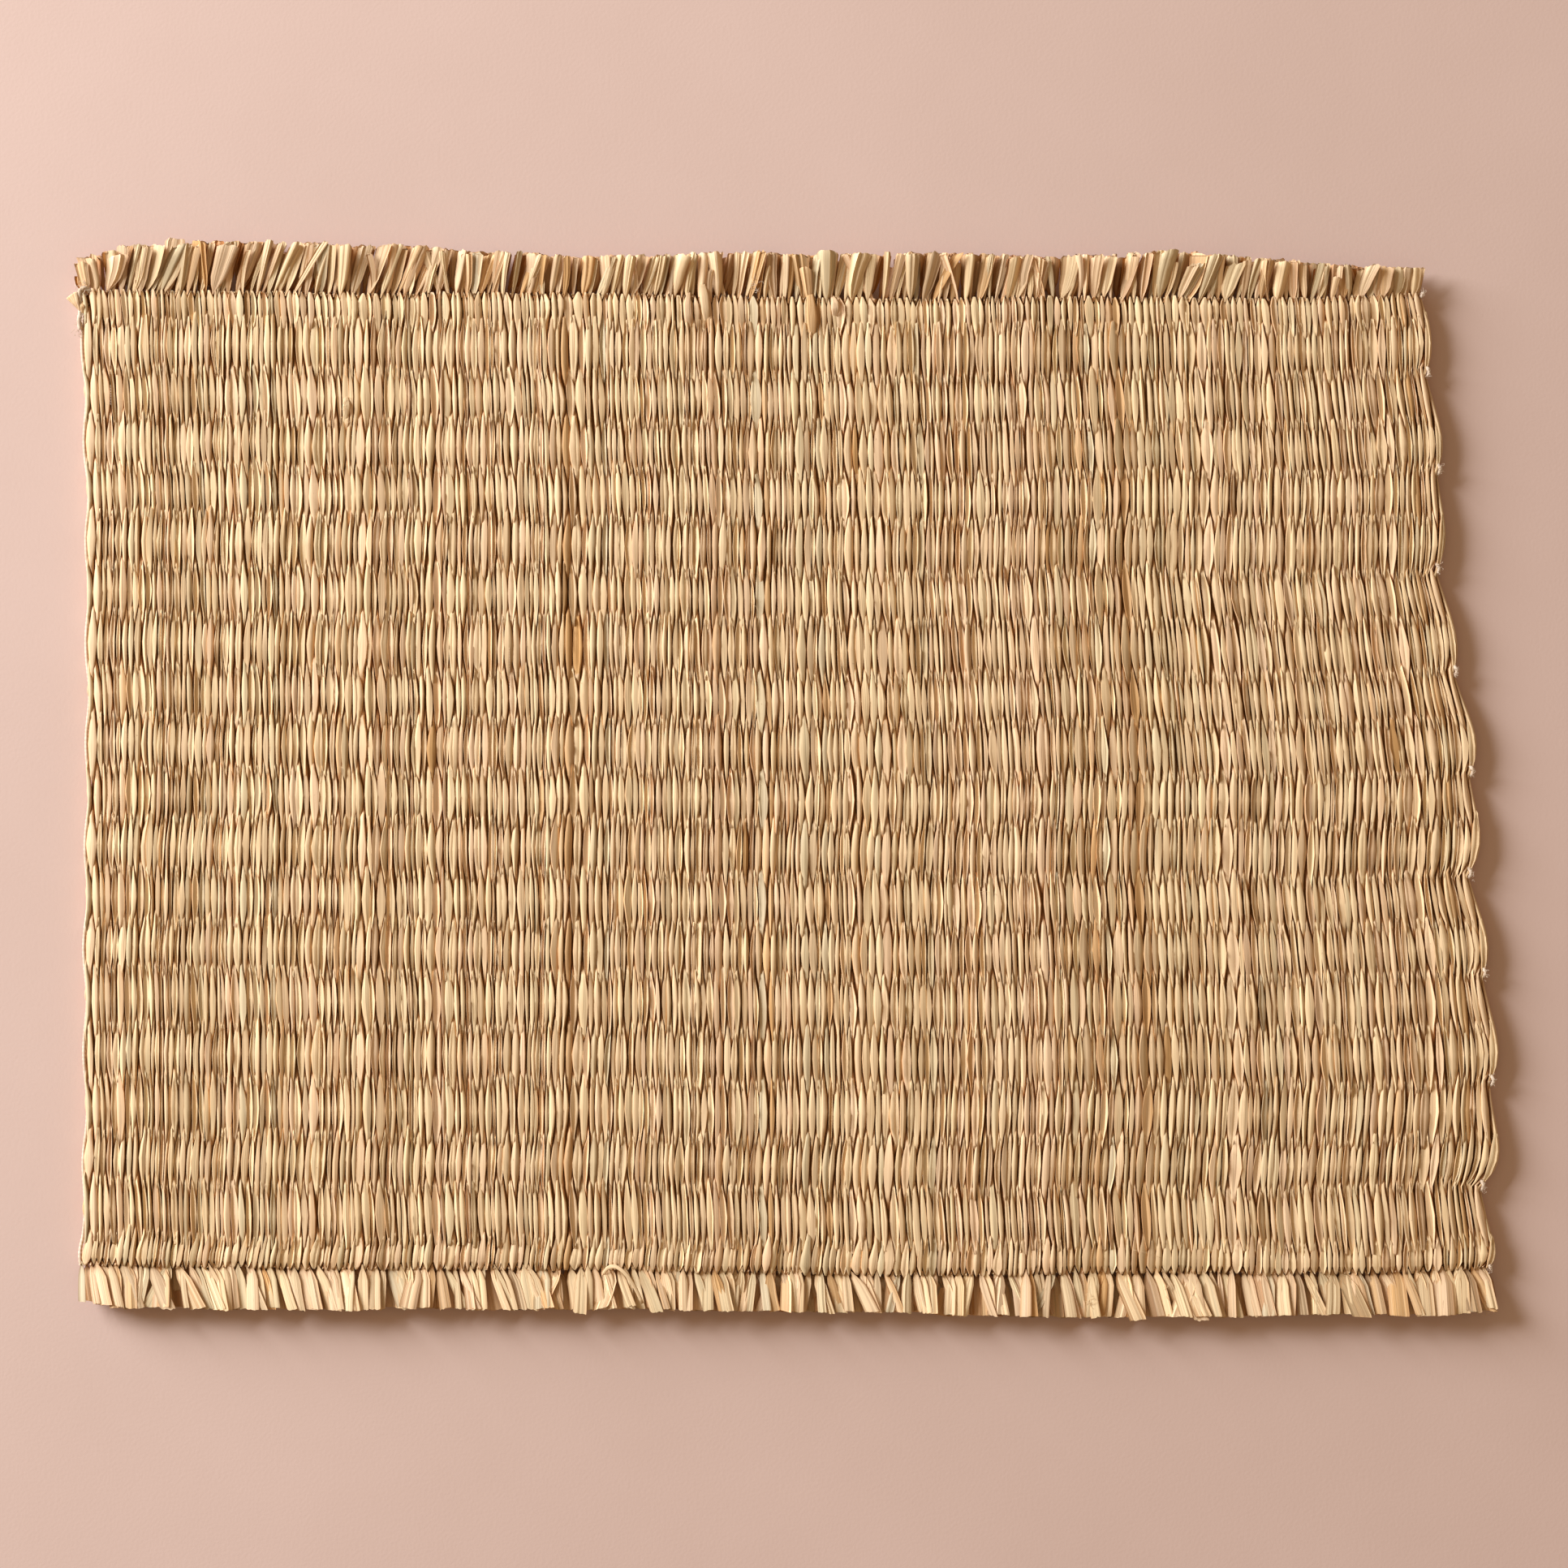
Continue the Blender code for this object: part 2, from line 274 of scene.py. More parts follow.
def tube_mesh(name, points, material, facts=None, creases=None, sharp_ends=False):
    """One piece of closed tubes, from points[tube, ring, place around, xyz].

    Four-sided faces join each ring to the next and a flat face closes each end, all turned outward by
    the sign of the volume. Facts are point attributes, and creases[tube, place around] are the edges
    along a tube that stay sharp, with the rims of its two ends where sharp_ends says so.
    """
    tubes, rings, around, _ = points.shape
    number = np.arange(tubes * rings * around).reshape(tubes, rings, around)
    after = np.roll(number, -1, axis=2)
    walls = np.stack([number[:, :-1], number[:, 1:], after[:, 1:], after[:, :-1]], axis=-1).reshape(-1, 4)
    ends = np.concatenate([number[:, 0], number[:, -1, ::-1]])
    flat = points.reshape(-1, 3)
    a, b, c, d = (flat[walls[:, corner]] for corner in range(4))
    volume = np.einsum("ij,ij->", a - flat[0], np.cross(c - a, d - b))
    if volume < 0:
        walls, ends = walls[:, ::-1], ends[:, ::-1]
    corners = np.concatenate([walls.ravel(), ends.ravel()]).astype(np.int32)
    sizes = np.concatenate([np.full(len(walls), 4), np.full(len(ends), around)])
    mesh = bpy.data.meshes.new(name)
    mesh.vertices.add(len(flat))
    mesh.vertices.foreach_set("co", flat.ravel().astype(np.float32))
    mesh.loops.add(len(corners))
    mesh.loops.foreach_set("vertex_index", corners)
    mesh.polygons.add(len(sizes))
    mesh.polygons.foreach_set("loop_start", (np.cumsum(sizes) - sizes).astype(np.int32))
    mesh.update(calc_edges=True)
    mesh.validate()
    mesh.shade_smooth()
    for title, values in (facts or {}).items():
        attribute = mesh.attributes.new(title, "FLOAT_VECTOR", "POINT")
        attribute.data.foreach_set("vector", values.reshape(-1).astype(np.float32))
    if creases is not None:
        pairs = np.empty(len(mesh.edges) * 2, np.int32)
        mesh.edges.foreach_get("vertices", pairs)
        start, end = pairs.reshape(-1, 2).T
        same = start % around == end % around
        sharp = same & creases[start // (rings * around), start % around]
        if sharp_ends:
            ring = (start // around) % rings
            sharp |= ~same & ((ring == 0) | (ring == rings - 1))
        attribute = mesh.attributes.new("sharp_edge", "BOOLEAN", "EDGE")
        attribute.data.foreach_set("value", sharp)
    mesh.materials.append(material)
    return link(bpy.data.objects.new(name, mesh))


def cord_tube(path, radius, lay, phase=0.0):
    """Points of a twisted cord on path[ring, xyz], as one tube.

    Its radius is the full one less the ply depth, plus that depth times the size of a cosine that peaks
    once for each ply, and the peaks turn once round in each lay of length.
    """
    along = np.gradient(path, axis=0)
    along /= np.linalg.norm(along, axis=1, keepdims=True)
    side = np.cross(along, (0.0, 0.0, 1.0))
    side /= np.linalg.norm(side, axis=1, keepdims=True)
    lift = np.cross(side, along)
    run = np.concatenate([[0.0], np.cumsum(np.linalg.norm(np.diff(path, axis=0), axis=1))])
    angle = np.linspace(0, 2 * math.pi, CORD_POINTS_AROUND, endpoint=False)
    turned = angle - 2 * math.pi * run[:, None] / lay - phase
    size = radius * (1 - PLY_DEPTH + PLY_DEPTH * np.abs(np.cos(CORD_PLIES * turned / 2)))
    offset = np.cos(angle)[:, None] * side[:, None] + np.sin(angle)[:, None] * lift[:, None]
    return (path[:, None] + size[..., None] * offset)[None]


def take_slot(slot, *pieces):
    """Each piece rides on the mat's one body; the slot is not used."""
    for piece in pieces:
        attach(piece, "root")


# Undyed cotton: cream, browner in patches, with fine fibres that make it dull.
cotton_material = mottled_material("cotton_cord", **COTTON)
cotton_shader = cotton_material.node_tree.nodes["Principled BSDF"]
cotton_shader.inputs["Sheen Weight"].default_value = COTTON_SHEEN

steps = np.linspace(0, ROWS, ROWS * CORD_STEPS_A_ROW + 1)
left_z = CORD_HEIGHT + CORD_WEAVE * np.cos(math.pi * steps)
left_path = side_by_side(left_cord_x(steps), line_y(steps, 0.0), left_z)
left_tube = cord_tube(left_path, CORD_DIAMETER / 2, CORD_LAY)
left_cord = tube_mesh("left_edge_cord", left_tube, cotton_material)
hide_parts("selvage_cord")

turn_tubes = []
for number, (line, turn) in enumerate(zip(RIGHT_EDGE["line"], RIGHT_EDGE["turn"])):
    start = 0.0 if line == 0 else END_TURN_LENGTH if line == ROWS else TURN_HALF_LENGTH
    end = 0.0 if line == ROWS else -END_TURN_LENGTH if line == 0 else -TURN_HALF_LENGTH
    along = np.linspace(start, end, TURN_STEPS)
    share = along / TURN_HALF_LENGTH
    path = side_by_side(
        turn + TURN_OUT - CORD_DIAMETER / 2 - TURN_BOW * share**2,
        line_y(line, 1.0) + along,
        CORD_HEIGHT + CORD_WEAVE * share + TURN_RISE * (1 - share**2),
    )
    turn_tubes.append(cord_tube(path, CORD_DIAMETER / 2, CORD_LAY, phase=number))
cord_turns = tube_mesh("right_edge_cord_turns", np.concatenate(turn_tubes), cotton_material)
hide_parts(*[f"cord_turn_{number:02d}" for number in range(1, 12)])
take_slot("cotton_cord", left_cord, cord_turns)


# Woven leaves. 430 cattail leaves, dampened and folded lengthwise, run along Y over one cord and under
# the next. Each shows on top as a pointed spindle in every second row, and its neighbours in the rows
# between.

LEAVES = 430
LEAF_GROUPS = 5
LEAF_POINTS_AROUND = 7
RING_SHARES = np.array([0.0, 0.09, 0.26, 0.50, 0.74, 0.91])
END_ROW = {
    "share": [*RING_SHARES, 1],
    "crown": [0.10, 0.48, 0.95, 0.96, 0.66, 0.27, 0.0],
    "width": [-0.45, 0.12, 0.92, 0.94, 0.56, 0.18, 0.0],
}
SIZE_SPREAD = 0.38
SIZE_LIMITS = (0.42, 1.9)
LINE_WIDTH_SHARE = 0.47
FILL = (1.09, 0.13)
FILL_LIMITS = (0.80, 1.45)
SLIM_CHANCE = 0.05
WIDENING_POWERS = (1.00, 1.90)
STRETCH_LIMITS = (0.7, 1.6)
UNEVEN_WIDTH = 0.035
HEAVY_END = 0.30
HEAVY_END_LIMIT = 0.6
MIDDLE_HEIGHT = 2.75 * MM
LEAF_SWING = 1.62 * MM
SWING_POWER = 1.9
HALF_HEIGHTS = {
    "crown": np.array([0.0, 0.37, 0.81, 1.0]),
    "height": MM * np.array([2.35, 2.05, 1.40, 1.08]),
}
UNEVEN_HEIGHT = 0.08
PROUD = 0.10 * MM
SHARED_LEAN = 0.10 * MM
OWN_LEAN = 0.07 * MM
LINE_WANDER = 0.06 * MM
ROW_WANDER = 0.10 * MM
END_LEAN = 0.8 * MM
OWN_STRAY = 0.58 * MM
SHARED_STRAY = 0.40 * MM
END_STRAY_SHARE = 0.35
TIP_REACH = 0.65 * MM
END_TIP_REACH = 1.3 * MM
EDGE_INSET = 0.55 * MM
EDGE_REACH = 7 * MM
BODY_INSET = 0.2 * MM
SPLIT_CHANCE = 0.36
SPLIT_PLACES = (0.12, 0.42)
SPLIT_RIDGES = (0.40, 0.72)
SPLIT_SHOULDER = 0.98
RIDGE_PLACES = (-0.30, 0.30)
RIDGE_HEIGHTS = (0.98, 1.06)
SHOULDER_HEIGHTS = (0.88, 0.98)
LINE_SHOULDER = 0.95
LINE_RIDGE = 1.0
UNEVEN_PLACE = 0.08
UNEVEN_SHOULDER = 0.06
UNEVEN_RIDGE = 0.04
SHOULDER_PLACE = 0.82
RIDGE_PULL = 0.14
BACK_PLACE = 0.60
BACK_HEIGHT = -0.96
EDGE_HEIGHT = 0.42
EDGE_TURN = 2.5
EDGE_LIFT = 0.35
FACE_SHARES = {
    "turned": [-0.7, -0.25, 0, 0.5],
    "top": [0.25, 0.55, 0.86, 1.0],
    "back": [0.25, 0.52, 0.74, 1.0],
}
UNEVEN_ROLL = 0.08
CREASE_CHANCES = {2: 0.25, 1: 0.45, 3: 0.60}
LEAF_SPACING = 0.013
# Painted shade: the inward faces, the shoulders and most the side edges of each leaf are darkened in
# colour.
BACK_PAINTED_SHADE = (0.15, 0.85)
SHOULDER_PAINTED_SHADE = 0.16
EDGE_PAINTED_SHADE = (0.72, 0.30)
HUE = (0.46, 0.12)
LIGHT = (1.015, 0.05)
BROWN_CHANCE = 0.03
BROWN_HUE = 0.88
BROWN_LIGHT = 0.86
ODD_SPINDLES = [
    (-70.7, 7, 7, 1.10, 1.02),
    (-73.5, 6, 7, 1.15, 0.62),
    (-182.0, 0, 3, 0.80, 0.66),
    (-120.0, 9, 10, 1.05, 0.85),
    (-14.0, 11, 11, 1.10, 0.80),
    (24.0, 3, 3, 1.05, 0.88),
    (88.0, 5, 6, 1.10, 0.80),
    (129.8, 15, 15, 1.15, 0.75),
    (161.2, 14, 14, -0.05, 1.02),
    (162.5, 16, 16, -0.05, 1.02),
    (205.0, 9, 9, 1.05, 0.85),
]
LEAF_COLORS = [
    (0.04, (0.750, 0.595, 0.375)),
    (0.20, (0.780, 0.600, 0.345)),
    (0.36, (0.860, 0.618, 0.340)),
    (0.50, (0.880, 0.620, 0.350)),
    (0.66, (0.885, 0.606, 0.364)),
    (0.82, (0.820, 0.510, 0.240)),
    (0.96, (0.680, 0.370, 0.130)),
]
LEAF_TO_LEAF = 700.0
PALE_END = (0.87, 0.63, 0.40)
# The dark brown that painted shade multiplies into a leaf's colour.
PAINTED_SHADE_TINT = (0.45, 0.22, 0.03)
SPECK_LEVEL = 0.73
SPECK_STRENGTH = 0.45
RELIEF_STRENGTH = 0.7
LEAF_GLOSS = 0.36
SPECK_COLOR = (0.36, 0.19, 0.07)

chance = np.random.default_rng(11)


def right_body_x(line):
    """X of the right edge without its notches: a little inside the cord turns, on straight lines."""
    return np.interp(line, RIGHT_EDGE["line"], RIGHT_EDGE["turn"]) - BODY_INSET


def weave_x(line, share):
    """X of a place in the weave: the share between the left edge and the right body line as it is at
    the far end, plus how far that line has moved out since, times the share cubed, plus the pinches and
    bulges of the right edge, which fade out exponentially with the distance from it."""
    left = left_edge_x(line) + EDGE_INSET
    right = right_body_x(line) - EDGE_INSET
    far_right = right_body_x(0) - EDGE_INSET
    local = right_edge_x(line) - right_body_x(line)
    body = left * (1 - share) + far_right * share + (right - far_right) * share**3
    return body + local * np.exp(-(1 - share) * (right - left) / EDGE_REACH)


def row_and_share(line):
    """The row that a place is in, and its share of that row."""
    row = np.minimum(line.astype(int), ROWS - 1)
    return row, line - row


def over_rows(line, whole, end_row):
    """These values in the whole rows, and in the two half rows those of an end row, which count from
    the end cord inward."""
    row, share = row_and_share(line)
    first = np.interp(share, END_ROW["share"], end_row)
    last = np.interp(1 - share, END_ROW["share"], end_row)
    return np.where(row == 0, first, np.where(row == ROWS - 1, last, whole))


def crown_share(line):
    """How far a place is up the crown of its row, 0 at a row line and 1 at mid-row: the sine of its
    share of the row. The two half rows are full near the end cords and fade towards their inner
    line."""
    return over_rows(line, np.sin(math.pi * row_and_share(line)[1]), END_ROW["crown"])


def width_share(line, power):
    """How far a spindle has widened from its width at a row line, 0, to its full width, 1: its own
    power of a sine over the row. In the half rows it is drawn in hard at the end cord and full past
    it."""
    return over_rows(line, np.sin(math.pi * row_and_share(line)[1]) ** power, END_ROW["width"])


def per_line(spread):
    """Chance values for every leaf at every row line."""
    return chance.normal(0, spread, (LEAVES, ROWS + 1))


def per_row(spread):
    """Chance values for every leaf in every row, repeated at each ring of the row."""
    return chance.normal(0, spread, (LEAVES, ROWS))[:, ring_row]


def along_lines(values):
    """Values given at the row lines, joined by straight lines at every ring."""
    return values[:, ring_row] * (1 - ring_share) + values[:, ring_row + 1] * ring_share


def neighbourly(values, reach):
    """Chance values shared with neighbouring leaves: each is the mean of those around it under a bell
    curve of this reach in leaves, scaled back to its old spread."""
    steps = np.arange(-3 * reach, 3 * reach + 1)
    bell = np.exp(-0.5 * (steps / reach) ** 2)
    padded = np.pad(values, ((3 * reach, 3 * reach), (0, 0)), mode="reflect")
    smooth = np.stack([np.convolve(column, bell, mode="valid") for column in padded.T], axis=1)
    return smooth / np.sqrt((bell**2).sum())


# Where each leaf stands, the room that it has at a crown, and the rows in which it is the upper one.
rings = np.concatenate([(LINES[:-1, None] + RING_SHARES).ravel(), [float(ROWS)]])
ring_row, ring_share = row_and_share(rings)
crown = crown_share(rings)
size = np.clip(chance.lognormal(0.0, SIZE_SPREAD, LEAVES), *SIZE_LIMITS)
size[[0, -1]] = 1.0
unit = 1 / size.sum()
leaf_share = (np.cumsum(size) - size / 2) * unit
before = np.concatenate([[0.0], size[:-1]])
behind = np.concatenate([size[1:], [0.0]])
room = (size + (before + behind) / 2) * unit
room_share = leaf_share + (behind - before) / 4 * unit
parity = np.arange(LEAVES) % 2
is_up = (ring_row[None] + parity[:, None]) % 2 == 0
side_sign = np.where(is_up, 1.0, -1.0)

# How wide and how thick it is at each ring. A slim spindle leaves a gap beside it, the widening power
# makes it blunt or sharp, and a heavy end makes one half of it wider than the other.
mat_width = weave_x(rings, 1.0) - weave_x(rings, 0.0)
share_grid = leaf_share[:, None] + (room_share - leaf_share)[:, None] * crown[None]
fill = np.clip(chance.normal(*FILL, (LEAVES, ROWS)), *FILL_LIMITS)
fill[chance.random((LEAVES, ROWS)) < SLIM_CHANCE] = FILL_LIMITS[0]
widened = width_share(rings, chance.uniform(*WIDENING_POWERS, (LEAVES, ROWS))[:, ring_row])
half_width_line = LINE_WIDTH_SHARE * size[:, None] * unit * mat_width[None]
half_width_crown = 0.5 * room[:, None] * mat_width[None] * fill[:, ring_row]
half_width = half_width_line + (half_width_crown - half_width_line) * widened
next_x = weave_x(rings[None], share_grid + unit)
stretch = (next_x - weave_x(rings[None], share_grid)) / (unit * mat_width[None])
half_width *= np.clip(stretch, *STRETCH_LIMITS)
half_width *= 1 + UNEVEN_WIDTH * chance.normal(0, 1, half_width.shape)
heavy_end = np.clip(per_row(HEAVY_END), -HEAVY_END_LIMIT, HEAVY_END_LIMIT)
half_width *= 1 + heavy_end * (ring_share - 0.5) * np.maximum(widened, 0)
half_height = np.interp(crown, HALF_HEIGHTS["crown"], HALF_HEIGHTS["height"])[None]
half_height = half_height * (1 + UNEVEN_HEIGHT * along_lines(per_line(1.0)))
proud = per_row(PROUD) * crown[None]

# The line of its middle. It leans one way where it comes up and the other where it goes down, and its
# points reach past the row lines, most at the two lines next to the end cords.
goes_up = (LINES[None] + parity[:, None]) % 2 == 0
lean = np.where(goes_up, -1.0, 1.0) * (neighbourly(per_line(SHARED_LEAN), 9) + per_line(OWN_LEAN))
lean[:, [0, ROWS]] = 0
lean[:, ROWS - 1] += END_LEAN
middle_x = weave_x(rings[None], share_grid) + along_lines(lean + per_line(LINE_WANDER))
middle_x += per_row(ROW_WANDER) * crown[None]
line_stray = per_line(OWN_STRAY) + neighbourly(per_line(SHARED_STRAY), 5)
tip_reach = np.where(np.isin(LINES, [1, ROWS - 1]), END_TIP_REACH, TIP_REACH)
line_stray += np.where(goes_up, tip_reach, -tip_reach)
line_stray[:, [0, ROWS]] *= END_STRAY_SHARE
middle_y = line_y(rings[None], leaf_share[:, None]) + along_lines(line_stray)
middle_z = MIDDLE_HEIGHT + side_sign * (LEAF_SWING * crown[None] ** SWING_POWER + proud)

# Its section, in half widths and half heights: edge, shoulder, ridge, shoulder and edge, and two points
# behind. A split leaf has its ridge off the middle and low.
split = chance.random(LEAVES) < SPLIT_CHANCE
split_place = np.where(chance.random(LEAVES) < 0.5, -1, 1) * chance.uniform(*SPLIT_PLACES, LEAVES)
ridge_place = np.where(split, split_place, chance.uniform(*RIDGE_PLACES, LEAVES))[:, None]
ridge_place = ridge_place + UNEVEN_PLACE * along_lines(per_line(1.0))
shoulder = np.where(split, SPLIT_SHOULDER, chance.uniform(*SHOULDER_HEIGHTS, LEAVES))[:, None]
split_ridge = chance.uniform(*SPLIT_RIDGES, LEAVES)
ridge = np.where(split, split_ridge, chance.uniform(*RIDGE_HEIGHTS, LEAVES))[:, None]
level = 1 - crown[None]
shoulder = shoulder + (LINE_SHOULDER - shoulder) * level
ridge = ridge + (LINE_RIDGE - ridge) * level**2
turned = side_sign * crown[None]
top_share = np.interp(turned, FACE_SHARES["turned"], FACE_SHARES["top"])
back_share = np.interp(-turned, FACE_SHARES["turned"], FACE_SHARES["back"])
edge_height = EDGE_HEIGHT * np.clip(EDGE_TURN * turned, -1, 1) + EDGE_LIFT * level
across = side_by_side(
    -1.0,
    top_share * (-SHOULDER_PLACE + RIDGE_PULL * ridge_place),
    top_share * ridge_place,
    top_share * (SHOULDER_PLACE + RIDGE_PULL * ridge_place),
    1.0,
    BACK_PLACE * back_share,
    -BACK_PLACE * back_share,
)
height = side_by_side(
    edge_height,
    shoulder + UNEVEN_SHOULDER * along_lines(per_line(1.0)),
    ridge + UNEVEN_RIDGE * along_lines(per_line(1.0)),
    shoulder + UNEVEN_SHOULDER * along_lines(per_line(1.0)),
    edge_height,
    BACK_HEIGHT,
    BACK_HEIGHT,
)
roll = along_lines(per_line(UNEVEN_ROLL)) + chance.normal(0, UNEVEN_ROLL, (LEAVES, 1))
sideways = across * half_width[..., None]
upward = height * half_height[..., None]
cosine, sine = np.cos(roll)[..., None], np.sin(roll)[..., None]
leaf_points = side_by_side(
    middle_x[..., None] + sideways * cosine - upward * sine,
    middle_y[..., None],
    np.maximum(middle_z[..., None] + sideways * sine + upward * cosine, 0.0),
)

# Its place for the fibres, and its mood: hue, light, and painted shade, which darkens the points that
# face into the weave, the shoulders to dim their highlight, and most the side edges, where the gaps
# between the spindles lie in shade. The odd spindles are given by x in millimetres, first and last
# row, hue and light.
hue = np.clip(chance.normal(*HUE, LEAVES), 0, 1)
light = chance.normal(*LIGHT, LEAVES)
brown = chance.random(LEAVES) < BROWN_CHANCE
hue[brown] = BROWN_HUE
light[brown] = BROWN_LIGHT
row_hue = np.repeat(hue[:, None], len(rings), axis=1)
row_light = np.repeat(light[:, None], len(rings), axis=1)
for x, first_row, last_row, new_hue, new_light in ODD_SPINDLES:
    middle = int(len(RING_SHARES) * (first_row + 0.5))
    odd = np.argmin(np.abs(middle_x[:, middle] - x * MM) + np.where(is_up[:, middle], 0, 1))
    chosen = (ring_row >= first_row) & (ring_row <= last_row)
    row_hue[odd, chosen] = new_hue
    row_light[odd, chosen] = new_light
leaf_number = np.arange(LEAVES)[:, None, None] * LEAF_SPACING
leaf_place = side_by_side(sideways, -middle_y[..., None], leaf_number)
facing_out = (np.arange(LEAF_POINTS_AROUND) < 4) == is_up[..., None]
# Painted shade at each point: deeper in the weave, on the shoulders to dim their highlight, and at the side
# edges.
painted_shade = np.where(facing_out, 0.0, BACK_PAINTED_SHADE[0] + BACK_PAINTED_SHADE[1] * crown[None, :, None])
painted_shade[..., [1, 3]] = np.maximum(painted_shade[..., [1, 3]], SHOULDER_PAINTED_SHADE)
painted_shade[..., [0, 4]] = EDGE_PAINTED_SHADE[0] + EDGE_PAINTED_SHADE[1] * crown[None, :, None]
leaf_mood = side_by_side(row_hue[..., None], row_light[..., None], painted_shade)
creases = np.zeros((LEAVES, LEAF_POINTS_AROUND), bool)
for point, share in CREASE_CHANCES.items():
    creases[:, point] = chance.random(LEAVES) < share
creases[split, 2] = True


def new_group(name, inputs, outputs):
    """A shader node group with named sockets, and its two end nodes."""
    group = bpy.data.node_groups.new(name, "ShaderNodeTree")
    for title, kind, value in inputs:
        socket = group.interface.new_socket(title, in_out="INPUT", socket_type=kind)
        socket.default_value = value
    for title, kind in outputs:
        group.interface.new_socket(title, in_out="OUTPUT", socket_type=kind)
    return group, group.nodes.new("NodeGroupInput"), group.nodes.new("NodeGroupOutput")


def stretched_noise(tree, place, scales, **settings):
    """A noise value at a place, with so many units a metre along X, Y and Z."""
    scaled = add_node(tree, "ShaderNodeVectorMath", operation="MULTIPLY")
    scaled.inputs[1].default_value = scales
    join(tree, place, scaled.inputs[0])
    return noise(tree, scaled.outputs["Vector"], Scale=1.0, **settings)


def leaf_surface():
    """The look of dried cattail leaf: its colour from pale green through straw to orange brown by the
    leaf's own hue, fine fibres, bands and folds along it with painted shade in the fold lines, a few
    specks, and a darker brown as painted shade, by each point's painted shade times its strength."""
    group, given, made = new_group(
        "leaf_surface",
        [
            ("Paleness", "NodeSocketFloat", 0.0),
            ("Fibre", "NodeSocketFloat", 0.5),
            ("Pinch", "NodeSocketFloat", 0.3),
            ("Streaks", "NodeSocketFloat", 0.3),
        ],
        [("Color", "NodeSocketColor"), ("Roughness", "NodeSocketFloat"), ("Height", "NodeSocketFloat")],
    )
    place = add_node(group, "ShaderNodeAttribute", attribute_name="leaf_place")
    mood = add_node(group, "ShaderNodeAttribute", attribute_name="leaf_mood")
    parts = add_node(group, "ShaderNodeSeparateXYZ")
    join(group, mood.outputs["Vector"], parts.inputs["Vector"])

    def stretched(across_scale, along_scale, detail):
        """Noise drawn out along the leaf: so many units a metre across it, so many along it."""
        scales = (across_scale, along_scale, LEAF_TO_LEAF)
        return stretched_noise(group, place.outputs["Vector"], scales, Detail=detail, Roughness=0.6)

    def combine(operation, first, second=None, third=None):
        """One arithmetic node. A number is set on its socket, and an output is linked."""
        node = add_node(group, "ShaderNodeMath", operation=operation)
        for socket, value in zip(node.inputs, (first, second, third)):
            if isinstance(value, (int, float)):
                socket.default_value = value
            elif value is not None:
                join(group, value, socket)
        return node.outputs["Value"]

    def mixed(kind, amount, first, second):
        """One colour mix node of this kind."""
        node = add_node(group, "ShaderNodeMix", data_type="RGBA", blend_type=kind)
        sockets = [node.inputs[0], node.inputs[6], node.inputs[7]]
        for socket, value in zip(sockets, (amount, first, second)):
            if isinstance(value, (int, float)):
                socket.default_value = value
            elif isinstance(value, tuple):
                socket.default_value = (*value, 1)
            else:
                join(group, value, socket)
        return node.outputs[2]

    fibres = stretched(9000.0, 90.0, 3.0)
    pleats = stretched(620.0, 16.0, 1.0)
    bands = stretched(1500.0, 22.0, 3.0)
    drift = stretched(260.0, 14.0, 2.0)
    blotch = stretched(900.0, 420.0, 3.0)

    shifted = combine("MULTIPLY_ADD", drift, 0.40, combine("ADD", parts.outputs["X"], -0.20))
    shifted = combine("MULTIPLY_ADD", bands, 0.30, combine("ADD", shifted, -0.15))
    color = ramp(group, shifted, LEAF_COLORS)
    color = mixed("MIX", given.outputs["Paleness"], color, PALE_END)
    fold = combine("MULTIPLY", combine("ABSOLUTE", combine("SUBTRACT", pleats, 0.5)), 14.0)
    fold = combine("MINIMUM", fold, 1.0)
    brightness = combine("SUBTRACT", fibres, 0.5)
    brightness = combine("MULTIPLY_ADD", brightness, given.outputs["Streaks"], 1.0)
    brightness = combine("MULTIPLY", brightness, parts.outputs["Y"])
    brightness = combine("MULTIPLY", brightness, combine("MULTIPLY_ADD", bands, 0.30, 0.85))
    # Painted shade: the colour is darkened along the fold lines, besides their relief.
    brightness = combine("MULTIPLY", brightness, combine("MULTIPLY_ADD", fold, 0.13, 0.89))
    grey = add_node(group, "ShaderNodeCombineColor")
    for socket in grey.inputs:
        join(group, brightness, socket)
    color = mixed("MULTIPLY", 1.0, color, grey.outputs["Color"])
    # Painted shade: the colour is multiplied towards a dark brown by each point's painted shade times its
    # strength.
    painted_shade_mix = combine("MULTIPLY", parts.outputs["Z"], given.outputs["Pinch"])
    color = mixed("MULTIPLY", painted_shade_mix, color, PAINTED_SHADE_TINT)
    speck = combine("GREATER_THAN", blotch, SPECK_LEVEL)
    color = mixed("MIX", combine("MULTIPLY", speck, SPECK_STRENGTH), color, SPECK_COLOR)
    join(group, color, made.inputs["Color"])
    join(group, combine("MULTIPLY_ADD", bands, 0.22, 0.54), made.inputs["Roughness"])
    relief = combine("MULTIPLY_ADD", fibres, given.outputs["Fibre"], bands)
    join(group, combine("MULTIPLY_ADD", fold, 0.65, relief), made.inputs["Height"])
    return group


def leaf_material(name, surface, paleness, fibre, painted_shade_strength, streaks, relief):
    """A leaf material: the shared leaf surface with its own strengths, and its relief in metres."""
    material, tree, shader = new_material(name)
    look = add_node(tree, "ShaderNodeGroup", node_tree=surface)
    for title, value in {"Paleness": paleness, "Fibre": fibre, "Pinch": painted_shade_strength, "Streaks": streaks}.items():
        look.inputs[title].default_value = value
    join(tree, look.outputs["Color"], shader.inputs["Base Color"])
    join(tree, look.outputs["Roughness"], shader.inputs["Roughness"])
    add_relief(tree, shader, look.outputs["Height"], RELIEF_STRENGTH, relief)
    shader.inputs["Specular IOR Level"].default_value = LEAF_GLOSS
    return material


